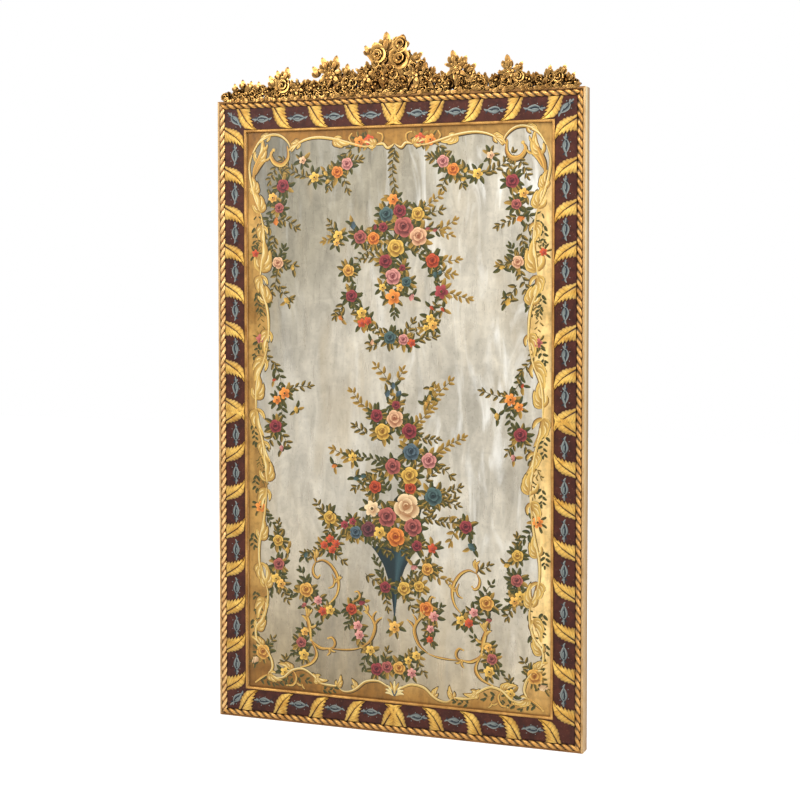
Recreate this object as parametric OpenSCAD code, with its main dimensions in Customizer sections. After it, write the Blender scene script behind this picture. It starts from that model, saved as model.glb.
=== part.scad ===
// Standing mirror: a gilt and painted frame with a carved flower crest, an
// antiqued plate held in a rebate, and two hinged feet behind that stand it up.
// +Z is up, +X is to the viewer's right and the face looks towards -Y.
// The origin is the middle of the footprint, on the floor.
// Modules are written in face coordinates, where y = 0 is the front of the
// outer lip, and at_home() moves them to the origin.

/* [Frame] */
// Outside width of the frame
frame_w = 1220; // [1000:10:1500]
// Height of the frame's top edge above the floor
frame_h = 2000; // [1700:10:2300]
// Depth of the frame, from its front lip to its back
frame_d = 60; // [56:1:80]
// Radius of the outer rear edges
edge_r = 12; // [4:1:16]
// Leg of the triangular key let into each mitred corner
key_leg = 46; // [30:1:60]
// Thickness of each mitre key
key_t = 4; // [3:0.5:6]

/* [Moulding] */
// Width of the plain lip outside the rope moulding
lip_w = 6; // [3:0.5:12]
// Width of the rope moulding
rope_w = 20; // [14:1:26]
// Width of the painted frieze
frieze_w = 67; // [50:1:90]
// Width of the gilt fillet round the plate
fillet_w = 9; // [6:0.5:14]
// Drop of the rope moulding's seat behind the lip
seat_drop = 4; // [3:0.5:6]
// Drop of the frieze behind the lip
frieze_drop = 2; // [1:0.5:3]

/* [Leaves] */
// Distance between two leaves along the frieze
leaf_pitch = 125; // [100:1:170]
// Width of a leaf where it leaves the rope moulding
leaf_w = 51; // [40:1:60]
// Thickness of a leaf
leaf_t = 1.5; // [1:0.1:2]

/* [Plate and backing] */
// Thickness of wood in front of the plate
sight_t = 6; // [4:0.5:9]
// Overlap of the rebate on the edge of the plate
plate_hold = 12; // [8:1:16]
// Gap between the plate's edge and the rebate
plate_gap = 2; // [1:0.5:4]
// Thickness of the plate
plate_t = 5; // [4:0.5:6]
// Thickness of the felt behind the plate
underlay_t = 3; // [2:0.5:4]
// Overlap of the second rebate on the backing board
board_hold = 12; // [10:1:16]
// Gap between the board's edge and the rebate
board_gap = 1; // [0.5:0.5:2]
// Thickness of the backing board
board_t = 8; // [6:1:10]
// Length of a setting block beside the plate
block_l = 40; // [20:1:60]
// Greatest distance between two board screws
board_screw_pitch = 330; // [200:10:450]

/* [Crest] */
// Height of the crest's highest bud above the frame
crest_h = 196; // [150:1:240]
// Distance from the frame's side to the end of the strip that carries the crest
strip_end = 30; // [20:1:80]
// Height of that strip
strip_h = 6; // [5:1:12]
// Thickness of the crest, from front to flat back
crest_t = 26; // [22:1:32]
// Distance from the frame's side to the end of the crest
crest_inset = 16; // [10:1:40]
// Length of each end piece of the crest
crest_end_l = 142; // [120:1:160]
// Length of the piece of the crest beside each end piece
crest_outer_l = 150; // [130:1:170]
// Half length of the middle piece of the crest
centre_half = 128; // [115:1:140]
// Height of the blocks behind the crest
prop_h = 74; // [50:1:90]

/* [Back frame] */
// Height of the top of the back rail above the floor
back_rail_z = 700; // [550:10:900]
// Height of the section of the back rail
back_rail_h = 60; // [40:1:80]
// Thickness of the back rail and its posts
batten_t = 22; // [18:1:26]
// Width of each post
post_w = 50; // [44:1:60]
// Distance of each post's middle from the middle of the frame
post_x = 350; // [340:1:420]
// Length of the laps let into the frame
lap_l = 40; // [25:1:60]

/* [Rear feet] */
// Reach of a foot behind the frame
foot_reach = 336; // [250:1:350]
// Thickness of a foot
foot_t = 22; // [18:1:26]
// Depth of a foot's upright
upright_d = 34; // [28:1:40]
// Height of a foot's runner
runner_h = 44; // [34:1:60]
// Depth of the brace, square to its length
brace_d = 30; // [24:1:36]
// Gap between an upright and the back of the frame when it is open
foot_gap = 0.3; // [0.2:0.1:0.5]
// Length of the runner's tenon
tenon_l = 20; // [10:1:24]
// Thickness of the pads under the frame and the feet
pad_t = 2; // [1.5:0.5:4]

/* [Hinges] */
// Length of each butt hinge
hinge_h = 72; // [50:1:90]
// Width of each leaf from the pin's axis
hinge_leaf_w = 26; // [22:1:30]
// Thickness of each hinge leaf
hinge_leaf_t = 2; // [1.5:0.1:2.5]
// Outer radius of the knuckles
knuckle_r = 3.6; // [3.2:0.1:5]
// Radius of the hinge pin
hinge_pin_r = 2; // [1.5:0.1:2.4]
// Radial running clearance on the pins
run_gap = 0.05; // [0.02:0.01:0.1]
// Clearance of the knuckles from wood and from the other leaf
knuckle_gap = 0.4; // [0.3:0.1:0.8]

/* [Hangers] */
// Distance of the wall ties below the frame's top
tie_drop = 300; // [250:10:800]
// Width of a tie's strap
strap_w = 18; // [14:1:22]
// Length of a tie's strap
strap_l = 46; // [34:1:60]
// Thickness of a tie's strap
strap_t = 1.6; // [1.2:0.1:2.4]
// Radius of the ring's wire
ring_wire_r = 1.6; // [1.2:0.1:2]
// Radius of the ring's bow
ring_r = 12; // [11:0.5:18]

/* [Screws] */
// Radius of a screw's shank
screw_r = 1.9; // [1.2:0.1:2.2]
// Radius of a screw's countersunk head
head_r = 3.8; // [3.2:0.1:4.6]
// Length of the small screws
screw_l = 15; // [12:1:18]
// Length of the screws through the laps
lap_screw_l = 30; // [26:1:36]
// Leg length of a corner brace
brace_leg = 72; // [50:1:78]
// Width of a corner brace
corner_w = 18; // [14:1:24]
// Thickness of a corner brace
corner_t = 2; // [1.5:0.1:3]

/* [Hidden] */

$fn = 32;
eps = 0.01;
overcut = 1;

gold = [0.80, 0.62, 0.30];
oxblood = [0.31, 0.18, 0.17];
pine = [0.72, 0.57, 0.38];
beech = [0.76, 0.60, 0.43];
brass = [0.78, 0.63, 0.32];
steel = [0.60, 0.61, 0.63];
felt = [0.16, 0.16, 0.17];
silver = [0.70, 0.70, 0.68];

// Widths across the moulding, from the outer edge inwards
rope_u = lip_w + rope_w / 2;
frieze_u = lip_w + rope_w;
fillet_u = frieze_u + frieze_w;
mould_w = fillet_u + fillet_w;
plate_u = mould_w - plate_hold;
board_u = plate_u - board_hold;
board_screw_u = board_u + board_hold / 2;

// Depths behind the front of the lip
y_plate = frieze_drop + sight_t;
y_underlay = y_plate + plate_t;
y_board = y_underlay + underlay_t;
y_board_back = y_board + board_t;
y_batten = frame_d - batten_t;
y_foot = frame_d + foot_gap;
y_front = seat_drop - rope_w / 2;
y_rear = y_foot + foot_reach;
y_home = -(y_front + y_rear) / 2;

body_h = frame_h - pad_t;
mid_z = pad_t + body_h / 2;
key_y = y_board_back + key_t;

plate_w = frame_w - 2 * (plate_u + plate_gap);
plate_h = body_h - 2 * (plate_u + plate_gap);
board_w = frame_w - 2 * (board_u + board_gap);
board_h = body_h - 2 * (board_u + board_gap);

// The back frame
back_rail_low = back_rail_z - back_rail_h;
back_rail_half = frame_w / 2 - board_u + lap_l;
post_foot_z = pad_t + board_u - lap_l;

// The hinges: each pin's axis stands clear of the wood by the knuckle and a gap
wood_off = knuckle_r + knuckle_gap;
axis_x = post_x + post_w / 2 - wood_off - foot_t / 2;
axis_y = frame_d + wood_off;
foot_x = axis_x + wood_off;
knuckle_h = (hinge_h - 2 * knuckle_gap) / 3;
hinge_low_z = 150;
hinge_zs = [hinge_low_z, back_rail_low - hinge_h / 2];
upright_top = back_rail_z - back_rail_h / 2;
brace_top_z = upright_top - brace_d;
runner_y = y_foot + upright_d;

// The wall ties
tie_x = frame_w / 2 - board_u / 2;
tie_z = frame_h - tie_drop;
tie_loop_r = ring_wire_r + run_gap + strap_t;
tie_axis_y = frame_d + tie_loop_r;
ring_leg = 8;

// The crest's parts meet at these distances from the middle of the frame
crest_tip = frame_w / 2 - crest_inset;
end_start = crest_tip - crest_end_l;
fan_end = end_start - crest_outer_l;
strip_half = frame_w / 2 - strip_end;
crest_back = crest_t - 2;
crest_y = 8;

module at_home() {
    translate([0, y_home, 0]) children();
}

// A bar along X from -len/2 to len/2, cut from a section drawn as [y, u],
// with u measured inwards from the outer edge at z = 0
module bar(len) {
    rotate([90, 0, 90])
        translate([0, 0, -len / 2])
            linear_extrude(len) children();
}

// The wedge of space that a mitred length keeps
module mitre_space(len) {
    depth = mould_w + overcut;
    translate([0, frame_d + overcut, 0])
        rotate([90, 0, 0])
            linear_extrude(frame_d + 2 * rope_w)
                polygon([[-len / 2, 0], [len / 2, 0], [len / 2 - depth, depth], [-len / 2 + depth, depth]]);
}

// Puts a length drawn for the bottom onto one side of the frame
module on_bottom() {
    translate([0, 0, pad_t]) children();
}

module on_top() {
    translate([0, 0, frame_h]) mirror([0, 0, 1]) children();
}

module on_left() {
    translate([-frame_w / 2, 0, mid_z]) rotate([0, 90, 0]) children();
}

module on_right() {
    mirror([1, 0, 0]) on_left() children();
}

module moulding_section() {
    difference() {
        polygon([
            [0, 0], [0, lip_w], [seat_drop, lip_w], [seat_drop, frieze_u],
            [frieze_drop, frieze_u], [frieze_drop, mould_w], [y_plate, mould_w],
            [y_plate, plate_u], [y_board, plate_u], [y_board, board_u],
            [frame_d, board_u], [frame_d, 0]]);
        difference() {
            translate([frame_d - edge_r, -overcut])
                square([edge_r + overcut, edge_r + overcut]);
            translate([frame_d - edge_r, edge_r]) circle(r = edge_r, $fn = 48);
        }
    }
}

module mitre_key(len, end) {
    translate([0, key_y + key_t, 0])
        rotate([90, 0, 0])
            linear_extrude(key_t)
                polygon([
                    [end * len / 2, 0], [end * (len / 2 - key_leg), 0], [end * len / 2, key_leg]]);
}

module member(len) {
    difference() {
        intersection() {
            bar(len) moulding_section();
            mitre_space(len);
        }
        for (end = [-1, 1]) mitre_key(len, end);
    }
}

module rope(len) {
    intersection() {
        bar(len)
            intersection() {
                translate([seat_drop, rope_u]) circle(r = rope_w / 2, $fn = 48);
                translate([seat_drop - rope_w, rope_u - rope_w]) square([rope_w, 2 * rope_w]);
            }
        mitre_space(len);
    }
}

module fillet(len) {
    intersection() {
        bar(len)
            intersection() {
                translate([frieze_drop, fillet_u + fillet_w / 2]) circle(r = fillet_w / 2, $fn = 48);
                translate([frieze_drop - fillet_w, fillet_u - fillet_w])
                    square([fillet_w, 3 * fillet_w]);
            }
        mitre_space(len);
    }
}

// Screws point along -Y here: the head's face is at y = 0
module screw(len) {
    rotate([90, 0, 0]) {
        cylinder(r = screw_r, h = len, $fn = 24);
        cylinder(r1 = head_r, r2 = screw_r, h = head_r - screw_r, $fn = 24);
    }
}

module stile_body() {
    difference() {
        on_left() member(body_h);
        translate([-back_rail_half, y_batten, back_rail_low])
            cube([lap_l + overcut, batten_t + overcut, back_rail_h]);
        board_screw_set();
        corner_screw_set();
        tie_screw_set();
        lap_screw_set();
    }
}

module stile_left() {
    at_home() color(oxblood) stile_body();
}

module stile_right() {
    at_home() color(oxblood) mirror([1, 0, 0]) stile_body();
}

module rail_top() {
    at_home() color(oxblood)
        difference() {
            on_top() member(frame_w);
            board_screw_set();
            corner_screw_set();
            crest_screw_set();
        }
}

module rail_bottom() {
    at_home() color(oxblood)
        difference() {
            on_bottom() member(frame_w);
            for (side = [-1, 1])
                translate([side * post_x - post_w / 2, y_batten, post_foot_z])
                    cube([post_w, batten_t + overcut, lap_l + overcut]);
            board_screw_set();
            corner_screw_set();
            lap_screw_set();
        }
}

module mitre_keys() {
    at_home() color(beech) {
        for (end = [-1, 1]) {
            on_bottom() mitre_key(frame_w, end);
            on_top() mitre_key(frame_w, end);
        }
    }
}

module rope_left() {
    at_home() color(gold) on_left() rope(body_h);
}

module rope_right() {
    at_home() color(gold) on_right() rope(body_h);
}

module rope_top() {
    at_home() color(gold) on_top() rope(frame_w);
}

module rope_bottom() {
    at_home() color(gold) on_bottom() rope(frame_w);
}

module fillet_left() {
    at_home() color(gold) on_left() fillet(body_h);
}

module fillet_right() {
    at_home() color(gold) on_right() fillet(body_h);
}

module fillet_top() {
    at_home() color(gold) on_top() fillet(frame_w);
}

module fillet_bottom() {
    at_home() color(gold) on_bottom() fillet(frame_w);
}

// One leaf across the frieze, its stem side on the rope moulding. The first
// value of a point is a share of the leaf's width, the second of the frieze's.
leaf_outline = [
    [0, 0], [0.10, 0.16], [0.17, 0.36], [0.24, 0.55], [0.40, 0.76], [0.58, 0.93],
    [0.72, 0.985], [0.80, 0.93], [0.96, 0.985], [1.08, 0.94], [1.43, 1],
    [1.24, 0.76], [1.16, 0.66], [1.24, 0.58], [1.09, 0.49], [1.20, 0.40],
    [1.05, 0.31], [1.14, 0.21], [1.02, 0.13], [1.07, 0.05], [1, 0]];

// Drawn in the plane of the frieze, along +X from its foot, u towards +Z
module leaf() {
    translate([0, frieze_drop, frieze_u])
        rotate([90, 0, 0])
            linear_extrude(leaf_t)
                polygon([for (p = leaf_outline) [p[0] * leaf_w, p[1] * frieze_w]]);
}

// Share of a leaf's width that lies outside its place on the pitch
leaf_lead = 0.86;
// Share of a leaf's width that has to clear the mitre at the fillet
leaf_clear = 0.15;

// Leaves lean towards the middle of a length, with a crossed pair in the middle
function leaf_count(len) = floor((len / 2 - fillet_u - leaf_w * leaf_clear) / leaf_pitch);

module leaf_row(len) {
    for (side = [0, 1])
        mirror([side, 0, 0])
            for (i = [0 : leaf_count(len)])
                translate([-i * leaf_pitch - leaf_w * leaf_lead, 0, 0]) leaf();
}

module leaves_left() {
    at_home() color(gold) on_left() leaf_row(body_h);
}

module leaves_right() {
    at_home() color(gold) on_right() leaf_row(body_h);
}

module leaves_top() {
    at_home() color(gold) on_top() leaf_row(frame_w);
}

module leaves_bottom() {
    at_home() color(gold) on_bottom() leaf_row(frame_w);
}

// A sheet of the given size, standing at the middle of the frame
module sheet(w, h, y, t) {
    translate([-w / 2, y, mid_z - h / 2]) cube([w, t, h]);
}

module mirror_plate() {
    at_home() color(silver) sheet(plate_w, plate_h, y_plate, plate_t);
}

module plate_underlay() {
    at_home() color(felt) sheet(plate_w, plate_h, y_underlay, underlay_t);
}

module backing_board() {
    at_home() color(pine)
        difference() {
            sheet(board_w, board_h, y_board, board_t);
            board_screw_set();
        }
}

block_steps = [-0.3, 0, 0.3];

// Small blocks that keep the plate centred in its rebate
module setting_blocks() {
    at_home() color(pine) {
        for (side = [-1, 1], share = block_steps)
            translate([side * (plate_w + plate_gap) / 2, y_plate + plate_t / 2, mid_z + share * plate_h])
                cube([plate_gap, plate_t, block_l], center = true);
        for (side = [-1, 1], share = block_steps)
            translate([share * plate_w, y_plate + plate_t / 2, mid_z + side * (plate_h + plate_gap) / 2])
                cube([block_l, plate_t, plate_gap], center = true);
    }
}

// Even places along a length, no further apart than the given pitch
function spread(half, pitch) =
    let (n = ceil(2 * half / pitch)) [for (i = [0 : n]) -half + 2 * half * i / n];

board_screw_half_w = frame_w / 2 - board_screw_u;
board_screw_half_h = body_h / 2 - board_screw_u;
board_screw_inset = 60;

module board_screw_set() {
    for (side = [-1, 1]) {
        for (z = spread(board_screw_half_h - board_screw_inset, board_screw_pitch))
            translate([side * board_screw_half_w, y_board_back, mid_z + z]) screw(screw_l);
        for (x = spread(board_screw_half_w - board_screw_inset, board_screw_pitch))
            translate([x, y_board_back, mid_z + side * board_screw_half_h]) screw(screw_l);
    }
}

module board_screws() {
    at_home() color(brass) board_screw_set();
}

// Corner braces lie on the back of each mitre, in the middle of the back face
corner_u = edge_r + (board_u - edge_r - corner_w) / 2;
corner_inset = corner_u + corner_w / 2;
corner_screw_steps = [0.45, 0.85];

module at_corners() {
    for (side = [0, 1], up = [0, 1])
        mirror([side, 0, 0])
            translate([-frame_w / 2, 0, up * frame_h + (1 - up) * pad_t])
                mirror([0, 0, up]) children();
}

module corner_brace() {
    translate([corner_u, frame_d, corner_u]) {
        cube([brace_leg, corner_t, corner_w]);
        cube([corner_w, corner_t, brace_leg]);
    }
}

module corner_screw_set() {
    at_corners()
        for (share = corner_screw_steps) {
            translate([corner_u + share * brace_leg, frame_d + corner_t, corner_inset]) screw(screw_l);
            translate([corner_inset, frame_d + corner_t, corner_u + share * brace_leg]) screw(screw_l);
        }
}

module corner_braces() {
    at_home() color(steel)
        difference() {
            at_corners() corner_brace();
            corner_screw_set();
        }
}

module corner_screws() {
    at_home() color(steel) corner_screw_set();
}

// The back frame carries the feet
module back_rail() {
    at_home() color(pine)
        difference() {
            translate([-back_rail_half, y_batten, back_rail_low])
                cube([2 * back_rail_half, batten_t, back_rail_h]);
            for (side = [-1, 1])
                translate([side * post_x - post_w / 2, frame_d - batten_t / 2, back_rail_low - overcut])
                    cube([post_w, batten_t, back_rail_h + 2 * overcut]);
            lap_screw_set();
            for (side = [-1, 1]) hinge_plate_screw_set(side);
        }
}

module back_post(side) {
    difference() {
        union() {
            translate([side * post_x - post_w / 2, y_batten, post_foot_z])
                cube([post_w, batten_t, back_rail_low - post_foot_z]);
            translate([side * post_x - post_w / 2, frame_d - batten_t / 2, back_rail_low])
                cube([post_w, batten_t / 2, back_rail_h]);
        }
        lap_screw_set();
        hinge_plate_screw_set(side);
    }
}

module back_post_left() {
    at_home() color(pine) back_post(-1);
}

module back_post_right() {
    at_home() color(pine) back_post(1);
}

lap_screw_steps = [0.25, 0.75];

module lap_screw_set() {
    for (side = [-1, 1], share = lap_screw_steps) {
        translate([side * (back_rail_half - lap_l / 2), frame_d, back_rail_low + share * back_rail_h])
            screw(lap_screw_l);
        translate([side * post_x + (share - 0.5) * post_w, frame_d, post_foot_z + lap_l / 2])
            screw(lap_screw_l);
        translate([side * post_x + (share - 0.5) * post_w, frame_d, back_rail_low + back_rail_h / 2])
            screw(screw_l);
    }
}

module lap_screws() {
    at_home() color(steel) lap_screw_set();
}

pad_l = 150;
pad_inset = 8;
pad_spread = 0.86;

module base_pads() {
    at_home() color(felt)
        for (x = [-1, 0, 1])
            translate([x * pad_spread * (frame_w - pad_l) / 2 - pad_l / 2, pad_inset, 0])
                cube([pad_l, frame_d - edge_r - pad_inset, pad_t]);
}

// Hinge parts, drawn for the right side: the knuckles round the pin's axis
module knuckle(z, h, r) {
    translate([axis_x, axis_y, z]) cylinder(r = r, h = h, $fn = 32);
}

module hinge_plate(z) {
    step = knuckle_h + knuckle_gap;
    difference() {
        union() {
            translate([axis_x - hinge_leaf_w, frame_d, z])
                cube([hinge_leaf_w, hinge_leaf_t, hinge_h]);
            for (k = [0, 2]) knuckle(z + k * step, knuckle_h, knuckle_r);
        }
        knuckle(z + knuckle_h, knuckle_h + 2 * knuckle_gap, knuckle_r + knuckle_gap);
        knuckle(z - overcut, hinge_h + 2 * overcut, hinge_pin_r);
    }
}

module hinge_flap(z) {
    step = knuckle_h + knuckle_gap;
    difference() {
        union() {
            translate([foot_x - hinge_leaf_t, axis_y, z])
                cube([hinge_leaf_t, hinge_leaf_w, hinge_h]);
            knuckle(z + step, knuckle_h, knuckle_r);
            translate([axis_x, axis_y, z + step])
                cube([wood_off, knuckle_r, knuckle_h]);
        }
        for (k = [0, 2])
            knuckle(z + k * step - knuckle_gap, knuckle_h + 2 * knuckle_gap, knuckle_r + knuckle_gap);
        knuckle(z - overcut, hinge_h + 2 * overcut, hinge_pin_r + run_gap);
    }
}

hinge_screw_steps = [0.16, 0.5, 0.84];
hinge_screw_off = 16;

module hinge_plate_screw_set(side) {
    for (z = hinge_zs, share = hinge_screw_steps)
        translate([side * (axis_x - hinge_screw_off), frame_d + hinge_leaf_t, z + share * hinge_h])
            screw(screw_l);
}

// These point into the upright, along +X on the right side
module flap_screw_set() {
    for (z = hinge_zs, share = hinge_screw_steps)
        translate([foot_x - hinge_leaf_t, axis_y + hinge_screw_off, z + share * hinge_h])
            rotate([0, 0, 90]) screw(screw_l);
}

module hinge_plate_pair() {
    difference() {
        for (z = hinge_zs) hinge_plate(z);
        hinge_plate_screw_set(1);
    }
}

module hinge_plates_left() {
    at_home() color(brass) mirror([1, 0, 0]) hinge_plate_pair();
}

module hinge_plates_right() {
    at_home() color(brass) hinge_plate_pair();
}

pin_head_h = 2;

module hinge_pins() {
    at_home() color(brass)
        for (side = [0, 1], z = hinge_zs)
            mirror([side, 0, 0]) {
                knuckle(z - pin_head_h, hinge_h + 2 * pin_head_h, hinge_pin_r);
                knuckle(z - pin_head_h, pin_head_h, knuckle_r);
                knuckle(z + hinge_h, pin_head_h, knuckle_r);
            }
}

module hinge_plate_screws() {
    at_home() color(brass) for (side = [-1, 1]) hinge_plate_screw_set(side);
}

module foot_upright() {
    difference() {
        translate([foot_x, y_foot, pad_t])
            cube([foot_t, upright_d, upright_top - pad_t]);
        runner_tenon();
        flap_screw_set();
    }
}

module runner_tenon() {
    translate([foot_x + foot_t / 3, runner_y - tenon_l, pad_t + runner_h / 4])
        cube([foot_t / 3, tenon_l + eps, runner_h / 2]);
}

module foot_runner() {
    toe = runner_h / 2;
    union() {
        translate([foot_x + foot_t, 0, 0])
            rotate([0, -90, 0])
                linear_extrude(foot_t)
                    polygon([
                        [pad_t, runner_y], [pad_t, y_rear], [pad_t + toe, y_rear],
                        [pad_t + runner_h, y_rear - toe], [pad_t + runner_h, runner_y]]);
        runner_tenon();
    }
}

// The brace runs from the upright down to the runner, in the foot's plane
module foot_brace() {
    heel_y = y_rear - 2 * runner_h;
    low_z = pad_t + runner_h;
    slope = atan2(brace_top_z - low_z, heel_y - runner_y);
    foot_len = brace_d / sin(slope);
    head_len = brace_d / cos(slope);
    thin = foot_t / 6;
    translate([foot_x + foot_t - thin, 0, 0])
        rotate([0, -90, 0])
            linear_extrude(foot_t - 2 * thin)
                polygon([
                    [low_z, heel_y], [low_z, heel_y - foot_len],
                    [brace_top_z - head_len, runner_y], [brace_top_z, runner_y]]);
}

module foot_pad() {
    translate([foot_x, y_rear - pad_l / 2, 0]) cube([foot_t, pad_l / 2, pad_t]);
    translate([foot_x, y_foot, 0]) cube([foot_t, upright_d, pad_t]);
}

module foot_upright_left() {
    at_home() color(beech) mirror([1, 0, 0]) foot_upright();
}

module foot_upright_right() {
    at_home() color(beech) foot_upright();
}

module foot_runner_left() {
    at_home() color(beech) mirror([1, 0, 0]) foot_runner();
}

module foot_runner_right() {
    at_home() color(beech) foot_runner();
}

module foot_brace_left() {
    at_home() color(beech) mirror([1, 0, 0]) foot_brace();
}

module foot_brace_right() {
    at_home() color(beech) foot_brace();
}

module flap_pair() {
    difference() {
        for (z = hinge_zs) hinge_flap(z);
        flap_screw_set();
    }
}

module hinge_flaps_left() {
    at_home() color(brass) mirror([1, 0, 0]) flap_pair();
}

module hinge_flaps_right() {
    at_home() color(brass) flap_pair();
}

module flap_screws_left() {
    at_home() color(brass) mirror([1, 0, 0]) flap_screw_set();
}

module flap_screws_right() {
    at_home() color(brass) flap_screw_set();
}

module foot_pad_left() {
    at_home() color(felt) mirror([1, 0, 0]) foot_pad();
}

module foot_pad_right() {
    at_home() color(felt) foot_pad();
}

// Wall ties: a strap screwed to each stile, with a loop that carries a ring
module tie_strap(side) {
    translate([side * tie_x, 0, tie_z])
        difference() {
            union() {
                translate([-strap_w / 2, frame_d, 0]) cube([strap_w, strap_t, strap_l]);
                translate([-strap_w / 2, tie_axis_y, 0])
                    rotate([0, 90, 0]) cylinder(r = tie_loop_r, h = strap_w);
            }
            translate([-strap_w, tie_axis_y, 0])
                rotate([0, 90, 0]) cylinder(r = ring_wire_r + run_gap, h = 2 * strap_w);
        }
}

tie_screw_steps = [0.42, 0.8];

module tie_screw_set() {
    for (side = [-1, 1], share = tie_screw_steps)
        translate([side * tie_x, frame_d + strap_t, tie_z + share * strap_l]) screw(screw_l);
}

module tie_straps() {
    at_home() color(brass)
        difference() {
            for (side = [-1, 1]) tie_strap(side);
            tie_screw_set();
        }
}

module tie_screws() {
    at_home() color(brass) tie_screw_set();
}

// The ring hangs from its straight bar: two short legs and a half-round bow
module tie_ring(side) {
    translate([side * tie_x, tie_axis_y, tie_z]) {
        rotate([0, 90, 0])
            cylinder(r = ring_wire_r, h = 2 * ring_r, center = true);
        for (end = [-1, 1])
            translate([end * ring_r, 0, -ring_leg]) cylinder(r = ring_wire_r, h = ring_leg);
        for (end = [-1, 1])
            translate([end * ring_r, 0, 0]) sphere(r = ring_wire_r);
        translate([0, 0, -ring_leg])
            rotate([90, 0, 0])
                rotate([0, 0, 180])
                    rotate_extrude(angle = 180) translate([ring_r, 0]) circle(r = ring_wire_r);
    }
}

module tie_ring_left() {
    at_home() color(brass) tie_ring(-1);
}

module tie_ring_right() {
    at_home() color(brass) tie_ring(1);
}

// The crest stands on a strip along the top of the frame
module crest_strip() {
    at_home() color(gold)
        difference() {
            translate([-strip_half, frieze_drop, frame_h])
                cube([2 * strip_half, crest_back - frieze_drop, strip_h]);
            crest_screw_set();
        }
}

crest_screw_inset = 40;
crest_screw_pitch = 280;

module crest_screw_set() {
    for (x = spread(strip_half - crest_screw_inset, crest_screw_pitch))
        translate([x, (frieze_drop + crest_back) / 2, frame_h + strip_h])
            rotate([90, 0, 0]) screw(lap_screw_l);
}

module crest_screws() {
    at_home() color(steel) crest_screw_set();
}

prop_xs = [-215, -10, 205];
prop_w = 24;

// Blocks glued on the top rail, behind the tall parts of the crest
module crest_props() {
    at_home() color(pine)
        for (x = prop_xs)
            translate([x + prop_w / 2, 0, 0])
                rotate([0, -90, 0])
                    linear_extrude(prop_w)
                        polygon([
                            [frame_h, crest_back], [frame_h, frame_d - edge_r],
                            [frame_h + strip_h, frame_d - edge_r], [frame_h + prop_h, crest_back]]);
}

// The carved forms. Heights are above the frame's top edge, and a form's
// front stays behind the front of the rope moulding.
module bud(x, z, len, lean) {
    r = len * 0.26;
    translate([x, crest_y, frame_h + z])
        rotate([0, lean, 0])
            hull() {
                translate([0, 0, r]) sphere(r = r, $fn = 8);
                translate([0, 0, len - 2]) sphere(r = 2, $fn = 6);
            }
}

// A rose: a cup of petals round a raised heart
module rose(x, z, r) {
    translate([x, crest_back, frame_h + z])
        rotate([90, 0, 0]) {
            depth = crest_back - y_front - 2;
            for (i = [0 : 4])
                rotate([0, 0, i * 71])
                    hull() {
                        translate([r * 0.30, 0, 0])
                            cylinder(r = r * 0.5, h = depth * 0.3 + i * 0.4, $fn = 9);
                        translate([r * 0.52, 0, depth * 0.55])
                            cylinder(r = r * 0.48, h = depth * 0.12 + i * 0.4, $fn = 9);
                    }
            cylinder(r1 = r * 0.7, r2 = r * 0.5, h = depth * 0.85, $fn = 11);
            rotate([0, 0, 9]) cylinder(r1 = r * 0.4, r2 = r * 0.28, h = depth, $fn = 8);
        }
}

// A flower with pointed petals that fan out round a small heart
module fan(x, z, r, turns) {
    translate([x, crest_back, frame_h + z])
        rotate([90, 0, 0]) {
            depth = crest_back - y_front - 3;
            for (i = [0 : len(turns) - 1])
                rotate([0, 0, turns[i]])
                    hull() {
                        translate([r * 0.1, 0, 0])
                            cylinder(r = r * 0.13, h = depth * 0.7 + i * 0.3, $fn = 6);
                        translate([r * 0.55, 0, 0])
                            cylinder(r = r * 0.2, h = depth * 0.8 + i * 0.3, $fn = 6);
                        translate([r, 0, depth * 0.35])
                            cylinder(r = r * 0.05, h = depth * 0.25, $fn = 6);
                    }
            rotate([0, 0, 11]) cylinder(r = r * 0.26, h = depth, $fn = 9);
        }
}

// A small five-petalled flower, its petals a little different in height
module floret(x, z, r) {
    translate([x, crest_back, frame_h + z])
        rotate([90, 0, 0]) {
            for (i = [0 : 4])
                rotate([0, 0, 90 + i * 71])
                    translate([r * 0.6, 0, 0])
                        rotate([0, 0, 17]) cylinder(r = r * 0.42, h = crest_back - 4 - i * 0.4, $fn = 7);
            rotate([0, 0, 5]) cylinder(r = r * 0.45, h = crest_back - 1, $fn = 8);
        }
}

// Foliage below the flowers: a row of lumps that overlap their neighbours
module foliage(from, to, heights) {
    n = len(heights);
    step = (to - from) / n;
    lap = step * 0.08;
    for (i = [0 : n - 1]) {
        r = min(step * 0.42, (heights[i] - strip_h) / 2);
        hull() {
            translate([from + i * step - (i > 0 ? lap : 0), 4, frame_h + strip_h])
                cube([step + (i > 0 ? lap : 0), crest_back - 4, 2]);
            translate([from + (i + 0.5) * step, crest_back, frame_h + heights[i] - r])
                rotate([90, 0, 0]) cylinder(r = r, h = crest_back - 5, $fn = 7);
        }
    }
}

// One carved length of the crest, cut square where it meets its neighbours.
// Its flowers are placed from its middle.
module crest_piece(from, to, heights) {
    at_home() color(gold)
        intersection() {
            union() {
                foliage(from, to, heights);
                translate([(from + to) / 2, 0, 0]) children();
            }
            translate([from, y_front, frame_h + strip_h])
                cube([to - from, crest_back - y_front, crest_h]);
        }
}

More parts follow.
